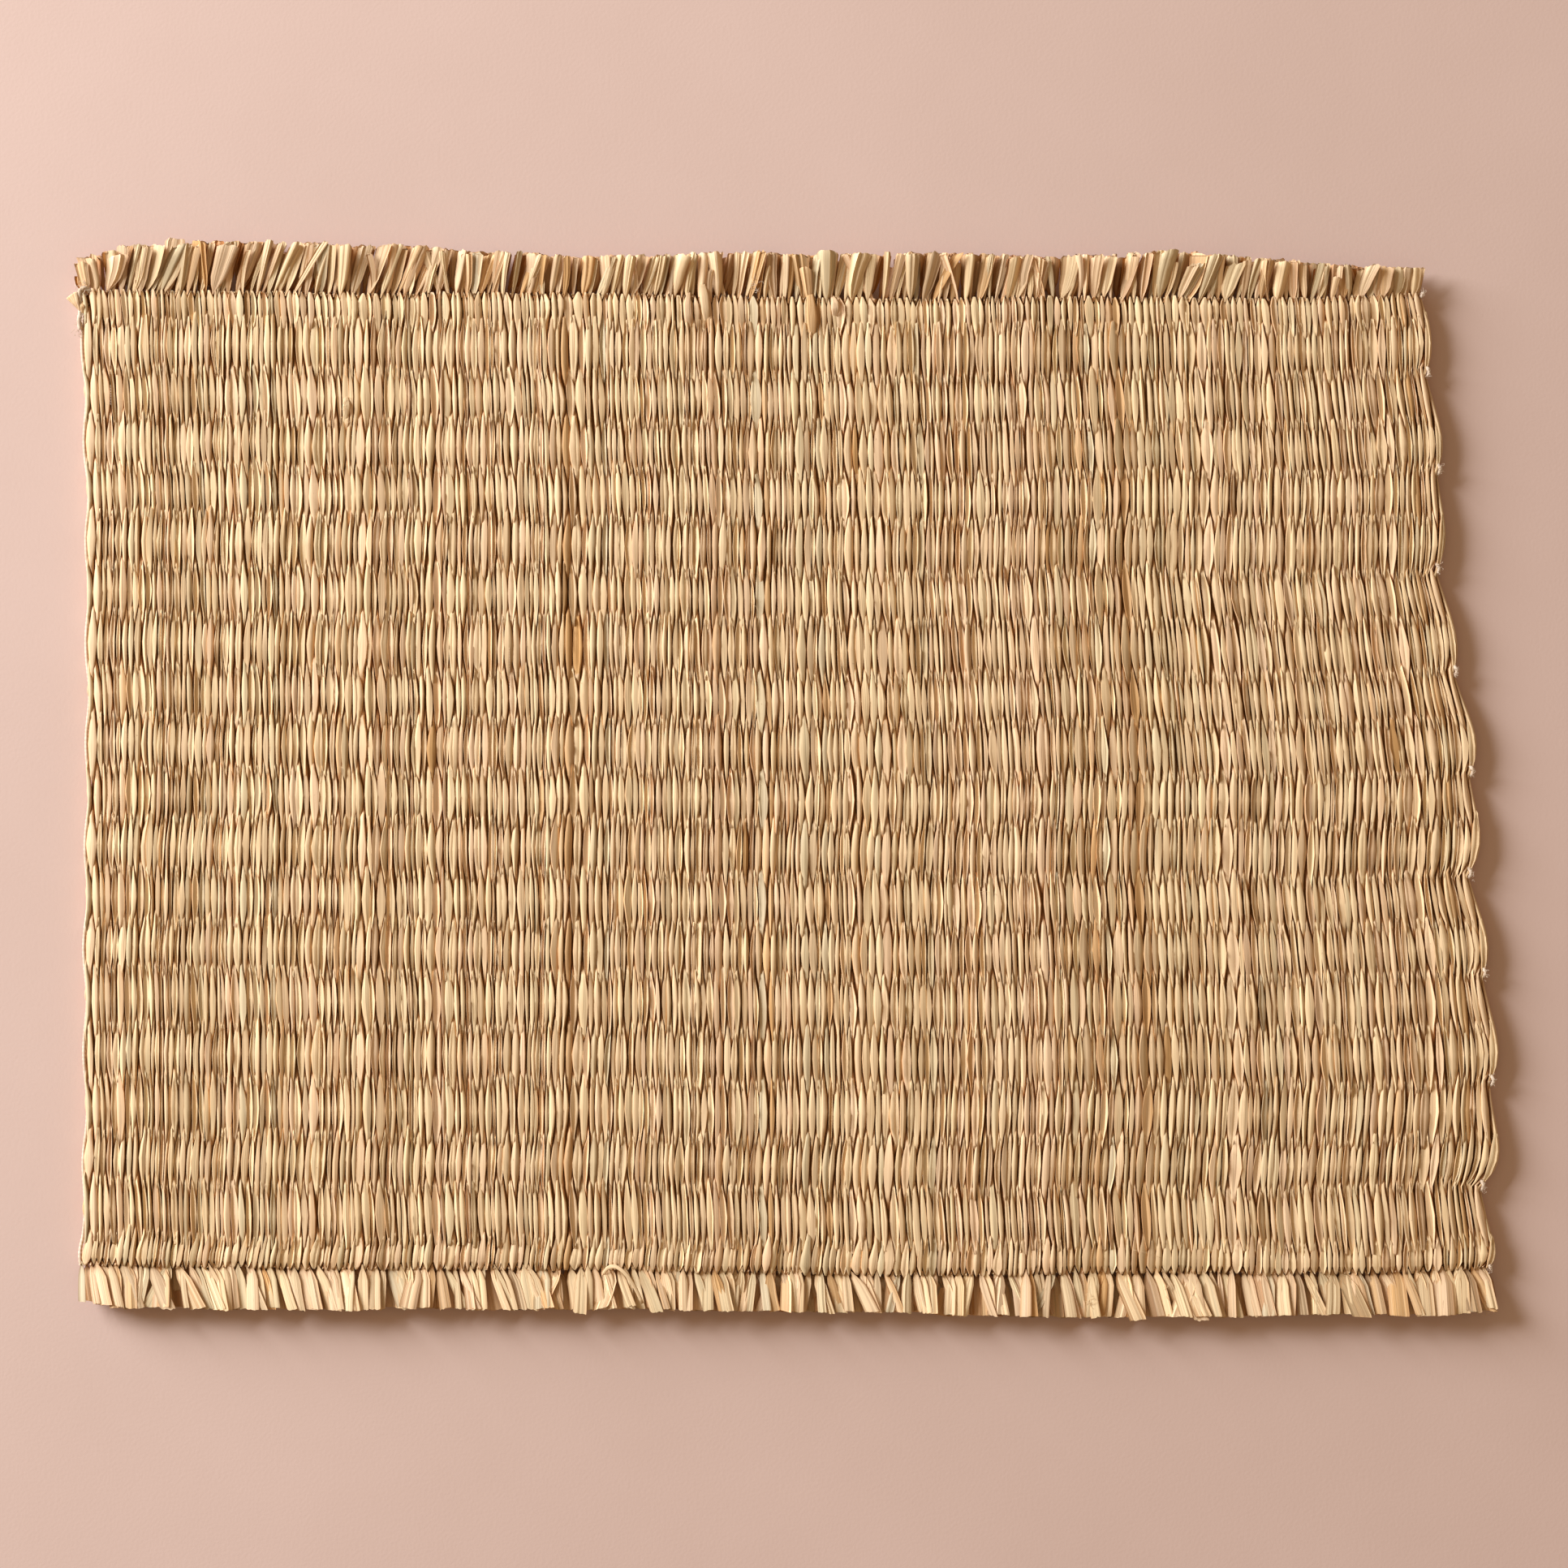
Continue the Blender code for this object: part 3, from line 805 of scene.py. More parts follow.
surface = leaf_surface()
woven_material = leaf_material(
    "woven_leaf", surface, paleness=0.0, fibre=0.5, painted_shade_strength=0.9, streaks=0.40, relief=0.08 * MM
)
leaf_groups = []
for number, chosen in enumerate(np.array_split(np.arange(LEAVES), LEAF_GROUPS), start=1):
    facts = {"leaf_place": leaf_place[chosen], "leaf_mood": leaf_mood[chosen]}
    name = f"woven_leaves_{number}"
    leaf_groups.append(tube_mesh(name, leaf_points[chosen], woven_material, facts, creases[chosen]))
take_slot("woven_leaf", *leaf_groups)


# Inner layer. Between the upper and the lower leaves lie the hidden cords and the leaves' own folded
# backs, one thin ribbed sheet of them from edge to edge. It is coloured a dark brown as painted shade,
# and shows only in the gaps between the spindles.

INNER_INSET = 1.6 * MM
INNER_HALF_CROWN = 0.55 * MM
INNER_HALF_LINE = 0.22 * MM
INNER_RIB_POWER = 4
INNER_COLUMNS = 24
INNER_STEPS_A_ROW = 6
INNER_END = 0.06
BACK_ROUGHNESS = 0.9
BACK_SCALES = (2200.0, 120.0, 400.0)
# Painted shade: these dark browns stand for the shade between the leaves.
SHADED_BACK_COLORS = [(0.3, (0.20, 0.090, 0.018)), (0.7, (0.38, 0.185, 0.045))]

inner_rings = np.linspace(INNER_END, ROWS - INNER_END, ROWS * INNER_STEPS_A_ROW + 1)
inner_shares = np.linspace(0, 1, INNER_COLUMNS)
left = left_edge_x(inner_rings) + INNER_INSET
right = right_edge_x(inner_rings) - INNER_INSET
inner_x = left[:, None] * (1 - inner_shares) + right[:, None] * inner_shares
inner_y = line_y(inner_rings[:, None], inner_shares[None])
rib = crown_share(inner_rings)[:, None] ** INNER_RIB_POWER
half_thick = INNER_HALF_LINE + (INNER_HALF_CROWN - INNER_HALF_LINE) * rib
upper = side_by_side(inner_x, inner_y, MIDDLE_HEIGHT + half_thick)
lower = side_by_side(inner_x, inner_y, MIDDLE_HEIGHT - half_thick)

# A dark straw brown as painted shade over the leaf backs and cords, with faint fibres along Y.
shaded_back_material, tree, shader = new_material("leaf_backs_painted_shade")
place = add_node(tree, "ShaderNodeTexCoord").outputs["Object"]
fibres = stretched_noise(tree, place, BACK_SCALES, Detail=3.0)
join(tree, ramp(tree, fibres, SHADED_BACK_COLORS), shader.inputs["Base Color"])
shader.inputs["Roughness"].default_value = BACK_ROUGHNESS
inner_points = np.concatenate([upper, lower[:, ::-1]], axis=1)[None]
inner_layer = tube_mesh("inner_layer", inner_points, shaded_back_material)
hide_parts("woven_leaves")
take_slot("woven_leaf", inner_layer)


# Fringes. Past the last cord at each long edge the leaves open out again into flat, pleated fans, and
# were trimmed with shears about 15 mm out. They overlap like shingles and stand up a little towards
# their tips.

FAN_PLACES = np.array([0.0, 0.09, 0.20, 0.36, 0.60, 0.82, 0.95, 1.0])
PLEAT_PLACES = np.array([-1.0, -0.68, -0.34, 0.0, 0.34, 0.68, 1.0])
FAN_THICKNESS = 0.25 * MM
LEAST_WIDTH = 1.8 * MM
CORNER_WIDTH = 2.6 * MM
CORNER_INSET = 2.0 * MM
ROOT_WIDTH = 0.45 * MM
ROOT_INSIDE = (1.7 * MM, 0.4 * MM)
ROOT_HEIGHT = (4.4 * MM, 2.2 * MM)
ROOT_STRAY = 0.35 * MM
ROOT_HEIGHT_STRAY = 0.25 * MM
TIP_HEIGHT_STRAY = 0.65 * MM
UNDER_TIP_SHARE = 0.55
UNDER_LEAN_SHARE = 0.4
SHARED_LEAN_SHARE = 0.6
CROSSED_CHANCE = 0.02
CROSSED_LEAN = -0.45
FALLEN_LEAN = 0.30
SHORT_CUT = (1.5 * MM, 5.5 * MM)
JAG_LIMIT = 0.5 * MM
TRIM_SLANT = 0.10
WIDE_FAN_RISE = 1.1 * MM
WIDE_FAN_ROLL = 0.05
OPEN_BY = 0.34
RISEN_AT_TIP = 0.9
ROOT_SHADE_UNTIL = 0.30
RIM_PLACE = 0.9
FAN_GRAIN_START = 7
FAN_GRAIN_LENGTH = 0.3
FAN_HUE_SPREAD = 0.16
FAN_LIGHT_SPREAD = 0.09
FRINGE_ENDS = (-240.8 * MM, 240.4 * MM)
FAR_TRIM = {
    "x": MM * np.array([-240, -225, -195, -130, -60, 100, 135, 180, 216]),
    "tip_y": MM * np.array([173.6, 180.0, 182.0, 179.4, 177.8, 177.6, 178.4, 174.3, 172.5]),
    "lean": np.array([-0.35, 0.16, 0.24, 0.22, 0.16, 0.10, 0.20, 0.14, 0.02]),
}
NEAR_TRIM = {
    "x": MM * np.array([-240, -226, -60, 40, 100, 135, 178, 226, 240]),
    "tip_y": MM * np.array([-176.2, -179.2, -179.4, -180.3, -182.0, -182.0, -181.2, -181.0, -178.8]),
    "lean": np.array([-0.02, 0.20, 0.14, 0.12, 0.20, 0.20, 0.12, 0.12, 0.18]),
}
# A look holds the chances, spreads and shares of one fringe's fans: their size, lean, trim, section and
# mood, with its painted light and painted shade. Its wide fans are given by x and width in millimetres,
# lean, and y of the tip in millimetres.
FAR_LOOK = {
    "width": 3.3 * MM, "spread": 0.42, "widest": 7.0 * MM, "under": 1.5, "open": 0.52, "tip_width": 0.80,
    "lean": 0.12, "fallen": 0.02, "wave": 0.5 * MM, "ragged": 0.6 * MM, "short": 0.10, "jag": 0.28 * MM,
    "bend": 0.4 * MM, "roll": (0.20, 0.18), "curl": (0.10, 0.10), "pleat": 0.055, "sharp": 0.40,
    "tip": 7.2 * MM, "painted_light": 0.03, "hue": 0.05, "root_shade": 0.46, "under_shade": 0.70, "round": 0.09, "rim_shade": 0.50,
    "wide fans": [
        (-229.1, 7.4, 0.34, 176.8), (-193.8, 7.8, 0.36, 180.4), (-209.5, 7.0, 0.16, 182.6),
        (13.0, 6.8, 0.00, 178.4), (21.6, 6.6, 0.22, 177.6), (42.0, 5.0, 0.04, 177.2),
        (-219.6, 5.8, 0.14, 179.6),
    ],
}
NEAR_LOOK = {
    "width": 3.9 * MM, "spread": 0.30, "widest": 6.0 * MM, "under": 1.55, "open": 0.85, "tip_width": 0.96,
    "lean": 0.15, "fallen": 0.0, "wave": 0.25 * MM, "ragged": 0.25 * MM, "short": 0.0, "jag": 0.14 * MM,
    "bend": 0.2 * MM, "roll": (0.13, 0.08), "curl": (0.02, 0.04), "pleat": 0.030, "sharp": 0.35,
    "tip": 6.6 * MM, "painted_light": 0.0, "hue": 0.04, "root_shade": 0.34, "under_shade": 0.34, "round": 0.02, "rim_shade": 0.55,
    "wide fans": [
        (-70.0, 4.6, -0.02, -180.4), (-57.8, 3.2, 0.36, -178.0), (-50.2, 4.4, 0.42, -180.0),
        (-214.0, 5.0, 0.40, -179.0), (112.0, 5.6, 0.42, -182.6), (131.5, 5.2, 0.44, -182.8),
        (186.0, 6.6, 0.45, -181.6), (207.0, 6.8, 0.06, -181.4), (214.4, 6.4, 0.04, -181.4),
        (222.4, 7.4, 0.02, -181.2),
    ],
}


def smooth_step(value):
    """Three value squared less two value cubed, with the value kept from 0 to 1."""
    value = np.clip(value, 0, 1)
    return value * value * (3 - 2 * value)


def lay_fans(line, trim, outward, fan_chance, look):
    """The fans of one fringe, with one value of each kind for each leaf.

    The leaves that go over the end cord make the upper fans, which start further in, higher and
    narrower. A fan's lean and its tip come from the trim line, with a chance part of its own and one
    shared with its neighbours. A few lean back across the others, some have fallen over or are cut
    short, and the wide ones stand as listed.
    """
    ring = 0 if outward > 0 else len(rings) - 1
    over = ~is_up[:, ring]
    width = fan_chance.lognormal(math.log(look["width"]), look["spread"], LEAVES)
    width = np.clip(width, LEAST_WIDTH, look["widest"])
    width[~over] *= look["under"]
    root_x = middle_x[:, ring]
    inside = np.minimum(root_x - FRINGE_ENDS[0], FRINGE_ENDS[1] - root_x)
    width = np.minimum(width, CORNER_WIDTH + np.maximum(inside - CORNER_INSET, 0))
    lean = np.interp(root_x, trim["x"], trim["lean"])
    lean += fan_chance.normal(0, look["lean"], LEAVES) * np.where(over, 1.0, UNDER_LEAN_SHARE)
    lean += neighbourly(fan_chance.normal(0, SHARED_LEAN_SHARE * look["lean"], (LEAVES, 1)), 3)[:, 0]
    crossed = fan_chance.random(LEAVES)
    lean[crossed < CROSSED_CHANCE] += CROSSED_LEAN
    lean[crossed > 1 - look["fallen"]] += FALLEN_LEAN
    root_y = line_y(line, leaf_share) - outward * np.where(over, *ROOT_INSIDE)
    root_y += fan_chance.normal(0, ROOT_STRAY, LEAVES)
    wave = neighbourly(fan_chance.normal(0, look["wave"], (LEAVES, 1)), 6)[:, 0]
    tip_y = np.interp(root_x, trim["x"], trim["tip_y"]) + wave
    tip_y -= outward * np.abs(fan_chance.normal(0, look["ragged"], LEAVES))
    short = fan_chance.random(LEAVES) < look["short"]
    tip_y[short] -= outward * fan_chance.uniform(*SHORT_CUT, short.sum())
    slant = fan_chance.normal(0, TRIM_SLANT, LEAVES)
    roll = fan_chance.normal(*look["roll"], LEAVES)
    curl = fan_chance.normal(*look["curl"], LEAVES)
    bend = fan_chance.normal(0, look["bend"], LEAVES)
    pleat = fan_chance.normal(0, look["pleat"], (LEAVES, len(PLEAT_PLACES)))
    pleat[:, 1::2] -= look["pleat"]
    jag = np.clip(fan_chance.normal(0, look["jag"], pleat.shape), -JAG_LIMIT, JAG_LIMIT)
    jag *= np.minimum(width / look["width"], 1)[:, None]
    jag -= look["round"] * PLEAT_PLACES**4 * width[:, None]
    root_z = np.where(over, *ROOT_HEIGHT) + fan_chance.normal(0, ROOT_HEIGHT_STRAY, LEAVES)
    tip_z = np.where(over, look["tip"], UNDER_TIP_SHARE * look["tip"])
    tip_z += fan_chance.normal(0, TIP_HEIGHT_STRAY, LEAVES)
    for x, fan_width, fan_lean, fan_tip in look["wide fans"]:
        chosen = np.argmin(np.abs(root_x - x * MM) + np.where(over, 0, 1))
        width[chosen] = fan_width * MM
        lean[chosen] = fan_lean
        tip_y[chosen] = fan_tip * MM
        tip_z[chosen] = look["tip"] + WIDE_FAN_RISE
        roll[chosen] = WIDE_FAN_ROLL
    return SimpleNamespace(
        over=over, width=width, lean=lean, root=(root_x, root_y, root_z), tip_y=tip_y, tip_z=tip_z,
        slant=slant, roll=roll, curl=curl, bend=bend, pleat=pleat, jag=jag,
    )


def fan_y(fans):
    """Y of the middle of each fan at each place along it, a straight line from root to tip."""
    root_y = fans.root[1][:, None]
    return root_y + (fans.tip_y[:, None] - root_y) * FAN_PLACES


def fan_points(fans, outward, look):
    """Points of the fans: a closed section of the pleat places, and two points below its edges, at each
    place along.

    A fan's middle runs on a straight lean, with a sine for its bend, from its pointed root at the end
    cord to the trim line, and its height goes from root to tip by a smooth step. Its width opens by the
    look's own blend of a quick smooth step and a straight line. Across it the height is a chance pleat
    for each place and a parabola for its curl, both times the width there, and a straight roll.
    """
    along = FAN_PLACES
    opened = look["open"] * smooth_step(along / OPEN_BY) + (1 - look["open"]) * along
    opened[-1] *= look["tip_width"]
    root_x, root_y, root_z = fans.root
    tip_x = root_x + fans.lean * np.abs(fans.tip_y - root_y)
    reach = np.clip(tip_x, FRINGE_ENDS[0] + fans.width / 2, FRINGE_ENDS[1] - fans.width / 2) - root_x
    x = root_x[:, None] + reach[:, None] * along + fans.bend[:, None] * np.sin(math.pi * along)
    rise = (fans.tip_z - root_z)[:, None]
    z = root_z[:, None] + rise * smooth_step(along * RISEN_AT_TIP) / smooth_step(RISEN_AT_TIP)
    width_here = (ROOT_WIDTH + (fans.width - ROOT_WIDTH)[:, None] * opened)[..., None]
    u = PLEAT_PLACES * width_here / 2
    dip = (fans.pleat[:, None] + fans.curl[:, None, None] * (1 - PLEAT_PLACES**2)) * width_here
    top_y = fan_y(fans)[..., None] + fans.slant[:, None, None] * u * along[:, None] ** 3
    top_y[:, -1] += outward * fans.jag
    top = side_by_side(x[..., None] + u, top_y, z[..., None] + dip + fans.roll[:, None, None] * u)
    low = top[:, :, [-1, 0]] - np.array([0, 0, FAN_THICKNESS])
    points = np.concatenate([top, low], axis=2)
    points[..., 2] = np.maximum(points[..., 2], 0.0)
    return points


def fringe_fans(name, line, trim, outward, seed, look, material):
    """One fringe as closed pleated fans, one for each leaf, with its place for the fibres and its mood.

    Its hue and light are its leaf's, moved a little, and an upper fan is made lighter as painted light.
    Painted shade darkens it near its root and at its two side edges, and all over where it is one of
    the lower fans.
    """
    fan_chance = np.random.default_rng(seed)
    fans = lay_fans(line, trim, outward, fan_chance, look)
    points = fan_points(fans, outward, look)
    grain = np.concatenate([PLEAT_PLACES, PLEAT_PLACES[[-1, 0]]]) * fans.width[:, None, None] / 2
    number = np.arange(LEAVES)[:, None, None] * LEAF_SPACING + FAN_GRAIN_START + outward
    place = side_by_side(grain, FAN_GRAIN_LENGTH * (fan_y(fans) * outward)[..., None], number)
    fan_hue = np.clip(hue + fan_chance.normal(look["hue"], FAN_HUE_SPREAD, LEAVES), 0, 1)
    fan_light = light + fan_chance.normal(0, FAN_LIGHT_SPREAD, LEAVES)
    # Painted light on the upper fans; painted shade on the lower ones, near the root and at the side edges.
    fan_light += np.where(fans.over, look["painted_light"], 0.0)
    painted_shade = np.where(fans.over, 0.0, look["under_shade"])[:, None]
    painted_shade = painted_shade + look["root_shade"] * (1 - smooth_step(FAN_PLACES / ROOT_SHADE_UNTIL))
    painted_shade = painted_shade[..., None] + look["rim_shade"] * (np.abs(grain / grain[:, :, :1]) > RIM_PLACE)
    mood = side_by_side(fan_hue[:, None, None], fan_light[:, None, None], painted_shade)
    last = len(PLEAT_PLACES) - 1
    creases = np.zeros((LEAVES, points.shape[2]), bool)
    creases[:, [0, last, last + 1, -1]] = True
    creases[:, 1:last] = fan_chance.random((LEAVES, last - 1)) < look["sharp"]
    facts = {"leaf_place": place, "leaf_mood": mood}
    return tube_mesh(name, points, material, facts, creases, sharp_ends=True)


end_material = leaf_material(
    "cut_leaf_end", surface, paleness=0.05, fibre=0.9, painted_shade_strength=0.8, streaks=0.50, relief=0.1 * MM
)
far_fringe = fringe_fans("far_fringe", 0.0, FAR_TRIM, 1, 21, FAR_LOOK, end_material)
near_fringe = fringe_fans("near_fringe", float(ROWS), NEAR_TRIM, -1, 22, NEAR_LOOK, end_material)
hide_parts("fringe_far")
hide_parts("fringe_near")
take_slot("cut_leaf_end", far_fringe, near_fringe)


# Loose leaves and fibres. A long leaf closes each bulge of the right edge, short tips hold the left
# cord down, wide leaves ride over the end cords, and hairs, thread ends and a knot of cord come loose
# here and there.

STRIP_ACROSS = np.array([-1.0, -0.62, 0.0, 0.62, 1.0, 0.5, -0.5])
STRIP_HEIGHT = np.array([0.0, 0.78, 1.0, 0.78, 0.0, -0.7, -0.7])
STRIP_STEPS = 16
STRIP_SPACING = 0.017
STRIP_GRAIN_START = 11
STRIP_GRAIN_LENGTH = 0.04
EDGE_LEAF_SPAN = (0.06, 1.94)
# An edge strip's look ends with its hue, light and painted shade.
EDGE_LEAF = {
    "in": -0.45 * MM, "swing": 0.0, "height": 2.9 * MM, "arch": 0.4 * MM,
    "half": (0.75 * MM, 1.9 * MM), "taper": (0.04, 0.55),
    "hue": (0.50, 0.08), "light": (0.97, 0.04), "painted_shade": 0.12,
}
LEFT_TIP_START = 0.45
LEFT_TIP_HALF_SPAN = (0.16, 0.26)
LEFT_TIP = {
    "in": 0.35 * MM, "swing": 0.35 * MM, "height": 3.3 * MM, "arch": 0.5 * MM,
    "half": (0.85 * MM, 0.55 * MM), "taper": (0.08, 0.80),
    "hue": (0.70, 0.06), "light": (0.92, 0.04), "painted_shade": 0.2,
}
WIDE_ARCH = 0.17
# Each wide leaf has points along its middle and half widths, both in millimetres, and its mood:
# hue, light and painted shade.
WIDE_LEAVES = {
    "striped strip": (
        [(8.0, 164.2, 4.9), (8.3, 161.0, 5.9), (8.6, 156.0, 6.1), (8.8, 151.5, 5.3), (8.6, 147.4, 3.4)],
        [0.9, 1.5, 2.0, 1.4, 0.3],
        (0.88, 0.98, 0.1),
    ),
    "folded knob": (
        [(15.6, 163.4, 4.6), (16.4, 161.0, 6.2), (16.6, 158.6, 6.4), (16.2, 155.6, 4.4)],
        [0.5, 1.4, 1.5, 0.4],
        (0.62, 0.93, 0.1),
    ),
    "pleated leaf": (
        [(-33.0, 164.6, 4.8), (-33.4, 160.5, 6.0), (-33.0, 156.0, 5.8), (-32.4, 151.8, 3.6)],
        [0.6, 1.4, 1.6, 0.4],
        (0.74, 0.95, 0.1),
    ),
    "crossing leaf": (
        [(-28.4, 167.4, 5.6), (-27.6, 163.4, 6.1), (-27.2, 158.0, 6.0), (-26.8, 152.6, 3.8)],
        [1.0, 1.5, 1.5, 0.4],
        (0.50, 0.96, 0.1),
    ),
    "frayed leaf": (
        [(-149.0, 131.0, 4.6), (-148.6, 126.0, 5.9), (-149.4, 120.0, 4.6)],
        [0.3, 1.5, 0.4],
        (0.42, 0.92, 0.0),
    ),
    "arched strip": (
        [
            (-61.8, -167.6, 4.6), (-60.8, -165.2, 6.2), (-57.6, -164.2, 7.4),
            (-53.6, -167.4, 7.9), (-50.6, -172.6, 7.2), (-48.6, -177.2, 6.4),
        ],
        [0.5, 0.7, 0.7, 0.65, 0.6, 0.5],
        (0.52, 1.05, 0.0),
    ),
    "corner fan, outer": (
        [(-239.0, 158.4, 4.2), (-241.0, 160.8, 4.9), (-243.0, 163.0, 4.6)],
        [0.2, 0.5, 0.7],
        (0.76, 1.0, 0.1),
    ),
    "corner fan, second": (
        [(-239.0, 158.4, 4.4), (-240.6, 161.1, 5.1), (-242.2, 163.6, 4.9)],
        [0.2, 0.5, 0.7],
        (0.62, 1.04, 0.1),
    ),
    "corner fan, third": (
        [(-239.0, 158.4, 4.6), (-240.2, 161.3, 5.3), (-241.3, 164.1, 5.2)],
        [0.2, 0.5, 0.7],
        (0.80, 1.02, 0.1),
    ),
    "corner fan, inner": (
        [(-238.9, 158.4, 4.8), (-239.7, 161.5, 5.5), (-240.4, 164.6, 5.4)],
        [0.2, 0.5, 0.7],
        (0.66, 0.97, 0.1),
    ),
    "corner leaf over the cord": (
        [(-238.2, 161.8, 4.2), (-238.0, 159.8, 5.6), (-238.0, 157.2, 4.4)],
        [0.3, 0.8, 0.3],
        (0.82, 0.95, 0.1),
    ),
}
CORNER_CORD = [
    (-235.4, 165.0, 4.4), (-237.4, 166.3, 5.4), (-238.9, 165.2, 5.0), (-239.0, 162.0, 4.2),
    (-238.7, 158.6, 4.0), (-239.2, 155.6, 4.4), (-239.0, 152.2, 3.4),
]
CORNER_CORD_RADIUS = 0.85 * MM
CORNER_CORD_LAY = 5.0 * MM
CORNER_CORD_STEPS = 44
FIBRE_SIDES = 4
FIBRE_STEPS = 8
# The fibres' mood: hue, light and a little painted shade.
FIBRE_MOOD = (0.45, 1.0, 0.15)
COTTON_HAIR = 0.06 * MM
LEAF_HAIR = 0.05 * MM
THREAD = 0.09 * MM
HAIR_LENGTHS = (0.5, 1.2)
HAIR_FLATTENED = (1, 1, 0.45)
HAIR_BEND = 0.35
BEND_FLATTENED = (1, 1, 0.4)
LEAST_HAIR_HEIGHT = 0.2 * MM
TUFT_INSIDE = 0.3 * MM
TUFT_RISE = 0.3
# A tuft has its spread and length in millimetres and its number of hairs, after its place if it has one.
TURN_TUFT = ((0.3, 0.9, 0.3), 0.9, 18)
CORNER_TUFT = ((0.6, 0.9, 0.4), 2.2, 14)
END_CORD_TUFT = ((-10.4, 166.8, 6.0), (0.4, 1.2, 0.3), 2.0, 12)
HAIRS = [
    [(117.0, -159.0, 6.2), (122.0, -160.0, 7.0), (127.0, -162.0, 6.0)],
    [(-12.0, 60.0, 5.8), (-9.0, 57.0, 6.2), (-9.6, 52.0, 5.6)],
    [(62.0, -40.0, 5.7), (66.0, -37.5, 6.3), (71.0, -39.0, 5.6)],
]
FRAYED_PLACES = [
    ((102.2, -177.6, 6.2), (0.5, 2.4, 0.3), 2.0, 18),
    ((128.8, -172.2, 6.0), (0.8, 1.2, 0.3), 1.4, 8),
    ((235.4, -179.6, 5.2), (1.6, 0.5, 0.5), 1.5, 14),
    ((-149.0, 125.0, 5.8), (0.7, 2.6, 0.3), 1.6, 12),
]
# Each thread has its x, far end and near end in millimetres.
STITCHED_THREADS = [(-93.6, 44.6, 31.1), (-16.5, -146.3, -154.0), (-228.4, 132.6, 126.6)]
STITCH = 0.85
STITCH_SHOWN = 0.45
STITCH_WANDER = 0.1
STITCH_HEIGHTS = (5.55, 5.75)


def strips(name, paths, half_width, half_height, moods, material):
    """One mesh of closed leaf strips from paths[strip, ring, xyz], with half sizes for each ring. The
    section is a low arch set across the path in plan."""
    along = np.gradient(paths[..., :2], axis=1)
    along /= np.linalg.norm(along, axis=-1, keepdims=True)
    side = np.stack([along[..., 1], -along[..., 0]], axis=-1)
    side *= np.where(side[:, :1, :1] < 0, -1, 1)
    across = STRIP_ACROSS * half_width[..., None]
    points = np.repeat(paths[:, :, None], len(STRIP_ACROSS), axis=2)
    points[..., :2] += across[..., None] * side[:, :, None]
    points[..., 2] += STRIP_HEIGHT * half_height[..., None]
    points[..., 2] = np.maximum(points[..., 2], 0.0)
    count, steps, around = points.shape[:3]
    number = np.arange(count)[:, None, None] * STRIP_SPACING + STRIP_GRAIN_START
    place = side_by_side(across, np.linspace(0, STRIP_GRAIN_LENGTH, steps)[:, None], number)
    mood = np.broadcast_to(moods[:, None, None], points.shape)
    creases = np.zeros((count, around), bool)
    return tube_mesh(name, points, material, {"leaf_place": place, "leaf_mood": mood}, creases)


def edge_strips(name, line_runs, edge_x, share, look):
    """Strips along a side edge of the mat, one for each run of row lines, which is drawn just before
    the strip's own hue and light. They arch up and swing out by a power of a sine, their taper."""
    ends, power = look["taper"]
    taper = np.sin(math.pi * np.linspace(ends, 1 - ends, STRIP_STEPS)) ** power
    paths, moods = [], []
    for line in line_runs:
        x = edge_x(line) + look["in"] - look["swing"] * taper
        paths.append(side_by_side(x, line_y(line, share), look["height"] + look["arch"] * taper))
        moods.append((chance.normal(*look["hue"]), chance.normal(*look["light"]), look["painted_shade"]))
    half_width, half_height = (half * taper for half in look["half"])
    return strips(name, np.array(paths), half_width, half_height, np.array(moods), woven_material)


def eased(keys, steps):
    """Key rows joined by straight lines, with each inner row then set twice to a quarter of the row
    before it, half of itself and a quarter of the row after it."""
    keys = np.array(keys, float)
    at = np.linspace(0, len(keys) - 1, steps)
    rows = np.stack([np.interp(at, np.arange(len(keys)), column) for column in keys.T], axis=1)
    for _ in range(2):
        rows[1:-1] = (rows[:-2] + 2 * rows[1:-1] + rows[2:]) / 4
    return rows


def fibre_tubes(paths, radius):
    """Points of thin tubes on paths[fibre, ring, xyz]: a small polygon square to the path at every ring."""
    along = np.gradient(paths, axis=1)
    along /= np.linalg.norm(along, axis=-1, keepdims=True)
    side = np.cross(along, (0.13, 0.27, 0.95))
    side /= np.linalg.norm(side, axis=-1, keepdims=True)
    lift = np.cross(side, along)
    angle = np.linspace(0, 2 * math.pi, FIBRE_SIDES, endpoint=False)[:, None]
    ring = np.cos(angle) * side[:, :, None] + np.sin(angle) * lift[:, :, None]
    return paths[:, :, None] + radius * ring


def tuft(middle, spread, length, count):
    """Chance hairs about a place, all given in millimetres: each starts near it and runs a bent way of
    about this length."""
    start = np.array(middle) * MM + chance.normal(0, 1, (count, 3)) * np.array(spread) * MM
    way = chance.normal(0, 1, (count, 3)) * HAIR_FLATTENED
    reach = length * MM * chance.uniform(*HAIR_LENGTHS, (count, 1))
    way *= reach / np.linalg.norm(way, axis=1, keepdims=True)
    bend = chance.normal(0, HAIR_BEND * length * MM, (count, 3)) * BEND_FLATTENED
    at = np.linspace(0, 1, FIBRE_STEPS)[None, :, None]
    paths = start[:, None] + way[:, None] * at + bend[:, None] * np.sin(math.pi * at)
    paths[..., 2] = np.maximum(paths[..., 2], LEAST_HAIR_HEIGHT)
    return paths


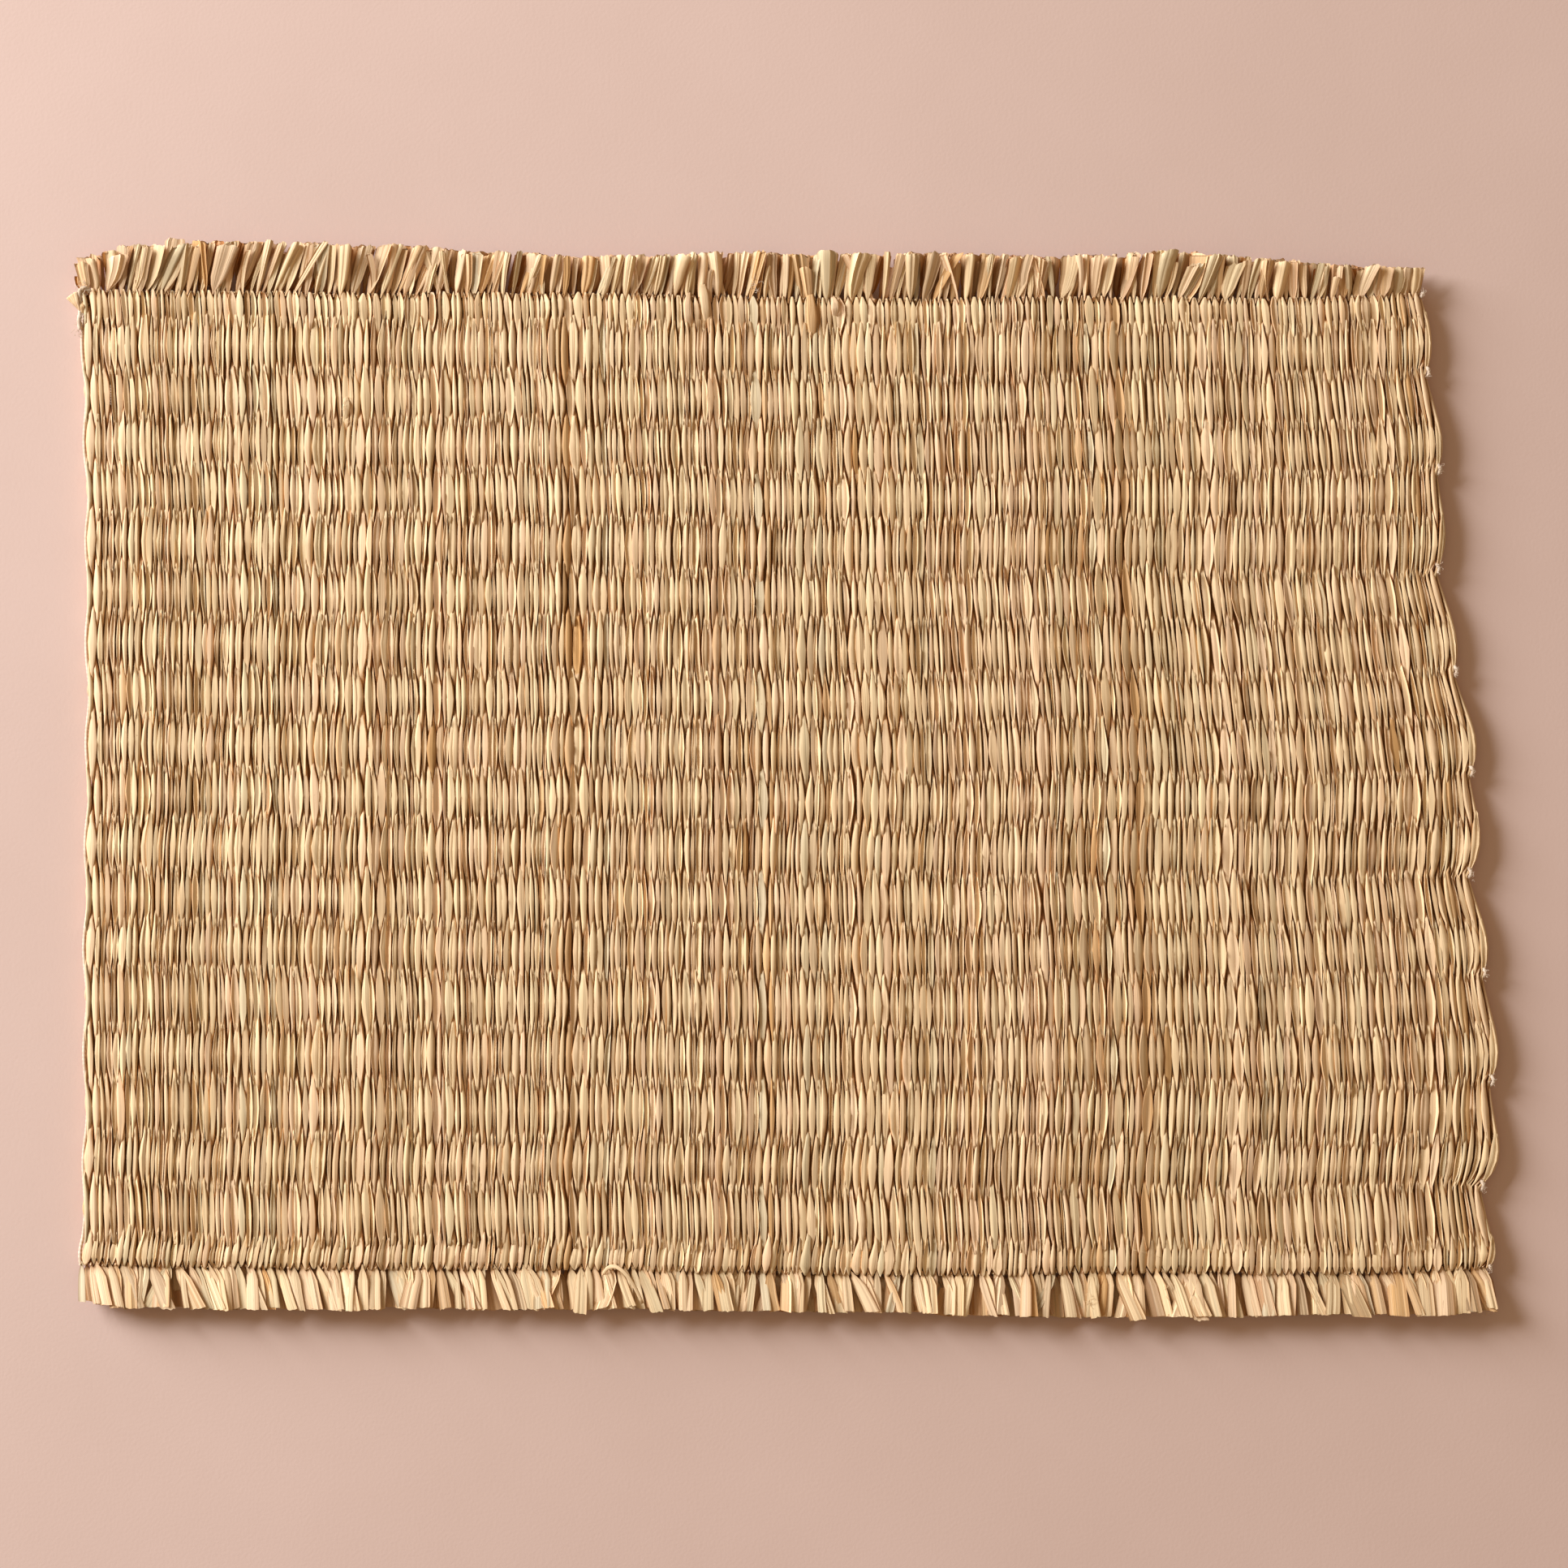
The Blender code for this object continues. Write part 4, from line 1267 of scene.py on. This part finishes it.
edge_leaf_lines = RIGHT_EDGE["line"][:-1, None] + np.linspace(*EDGE_LEAF_SPAN, STRIP_STEPS)
edge_leaves = edge_strips("right_edge_leaves", edge_leaf_lines, right_edge_x, 1.0, EDGE_LEAF)
left_tip_lines = (
    middle + chance.uniform(*LEFT_TIP_HALF_SPAN) * np.linspace(-1, 1, STRIP_STEPS)
    for middle in np.arange(LEFT_TIP_START, ROWS - 1, 2.0)
)
left_tips = edge_strips("left_edge_tips", left_tip_lines, left_cord_x, 0.0, LEFT_TIP)

wide_rows = WIDE_LEAVES.values()
wide_paths = np.array([eased(keys, STRIP_STEPS) for keys, _, _ in wide_rows]) * MM
wide_widths = np.array([eased(np.array([widths]).T, STRIP_STEPS)[:, 0] for _, widths, _ in wide_rows])
wide_moods = np.array([mood for _, _, mood in wide_rows])
wide_leaves = strips(
    "wide_leaves", wide_paths, wide_widths * MM, wide_widths * WIDE_ARCH * MM, wide_moods, end_material
)

corner_path = eased(CORNER_CORD, CORNER_CORD_STEPS) * MM
corner_tube = cord_tube(corner_path, CORNER_CORD_RADIUS, CORNER_CORD_LAY, phase=0.6)
corner_cord = tube_mesh("corner_cord", corner_tube, cotton_material)

fuzz_paths = []
for line, turn in zip(RIGHT_EDGE["line"], RIGHT_EDGE["turn"]):
    middle = ((turn - TUFT_INSIDE) / MM, line_y(line, 1.0) / MM, (CORD_HEIGHT + TURN_RISE) / MM + TUFT_RISE)
    fuzz_paths.append(tuft(middle, *TURN_TUFT))
fuzz_paths += [tuft(key, *CORNER_TUFT) for key in CORNER_CORD[1:]]
fuzz_paths.append(tuft(*END_CORD_TUFT))
fuzz_points = fibre_tubes(np.concatenate(fuzz_paths), COTTON_HAIR)
cotton_fuzz = tube_mesh("cotton_fuzz", fuzz_points, cotton_material)

hair_paths = np.array([eased(keys, FIBRE_STEPS) for keys in HAIRS]) * MM
frayed = [tuft(*place) for place in FRAYED_PLACES]
fibre_points = fibre_tubes(np.concatenate([hair_paths, *frayed]), LEAF_HAIR)
fibre_facts = {"leaf_place": fibre_points, "leaf_mood": np.broadcast_to(FIBRE_MOOD, fibre_points.shape)}
leaf_fibres = tube_mesh("leaf_fibres", fibre_points, end_material, fibre_facts)

low, high = STITCH_HEIGHTS
dash_paths = []
for x, far_y, near_y in STITCHED_THREADS:
    for start in np.arange(near_y, far_y, STITCH):
        end_x = x + chance.normal(0, STITCH_WANDER)
        keys = [(x, start, low), (x + 0.05, start + 0.2, high), (end_x, start + STITCH_SHOWN, low)]
        dash_paths.append(eased(keys, FIBRE_STEPS))
dash_points = fibre_tubes(np.array(dash_paths) * MM, THREAD)
thread_dashes = tube_mesh("thread_dashes", dash_points, cotton_material)

take_slot("woven_leaf", edge_leaves, left_tips)
take_slot("cut_leaf_end", wide_leaves, leaf_fibres)
take_slot("cotton_cord", corner_cord, cotton_fuzz, thread_dashes)
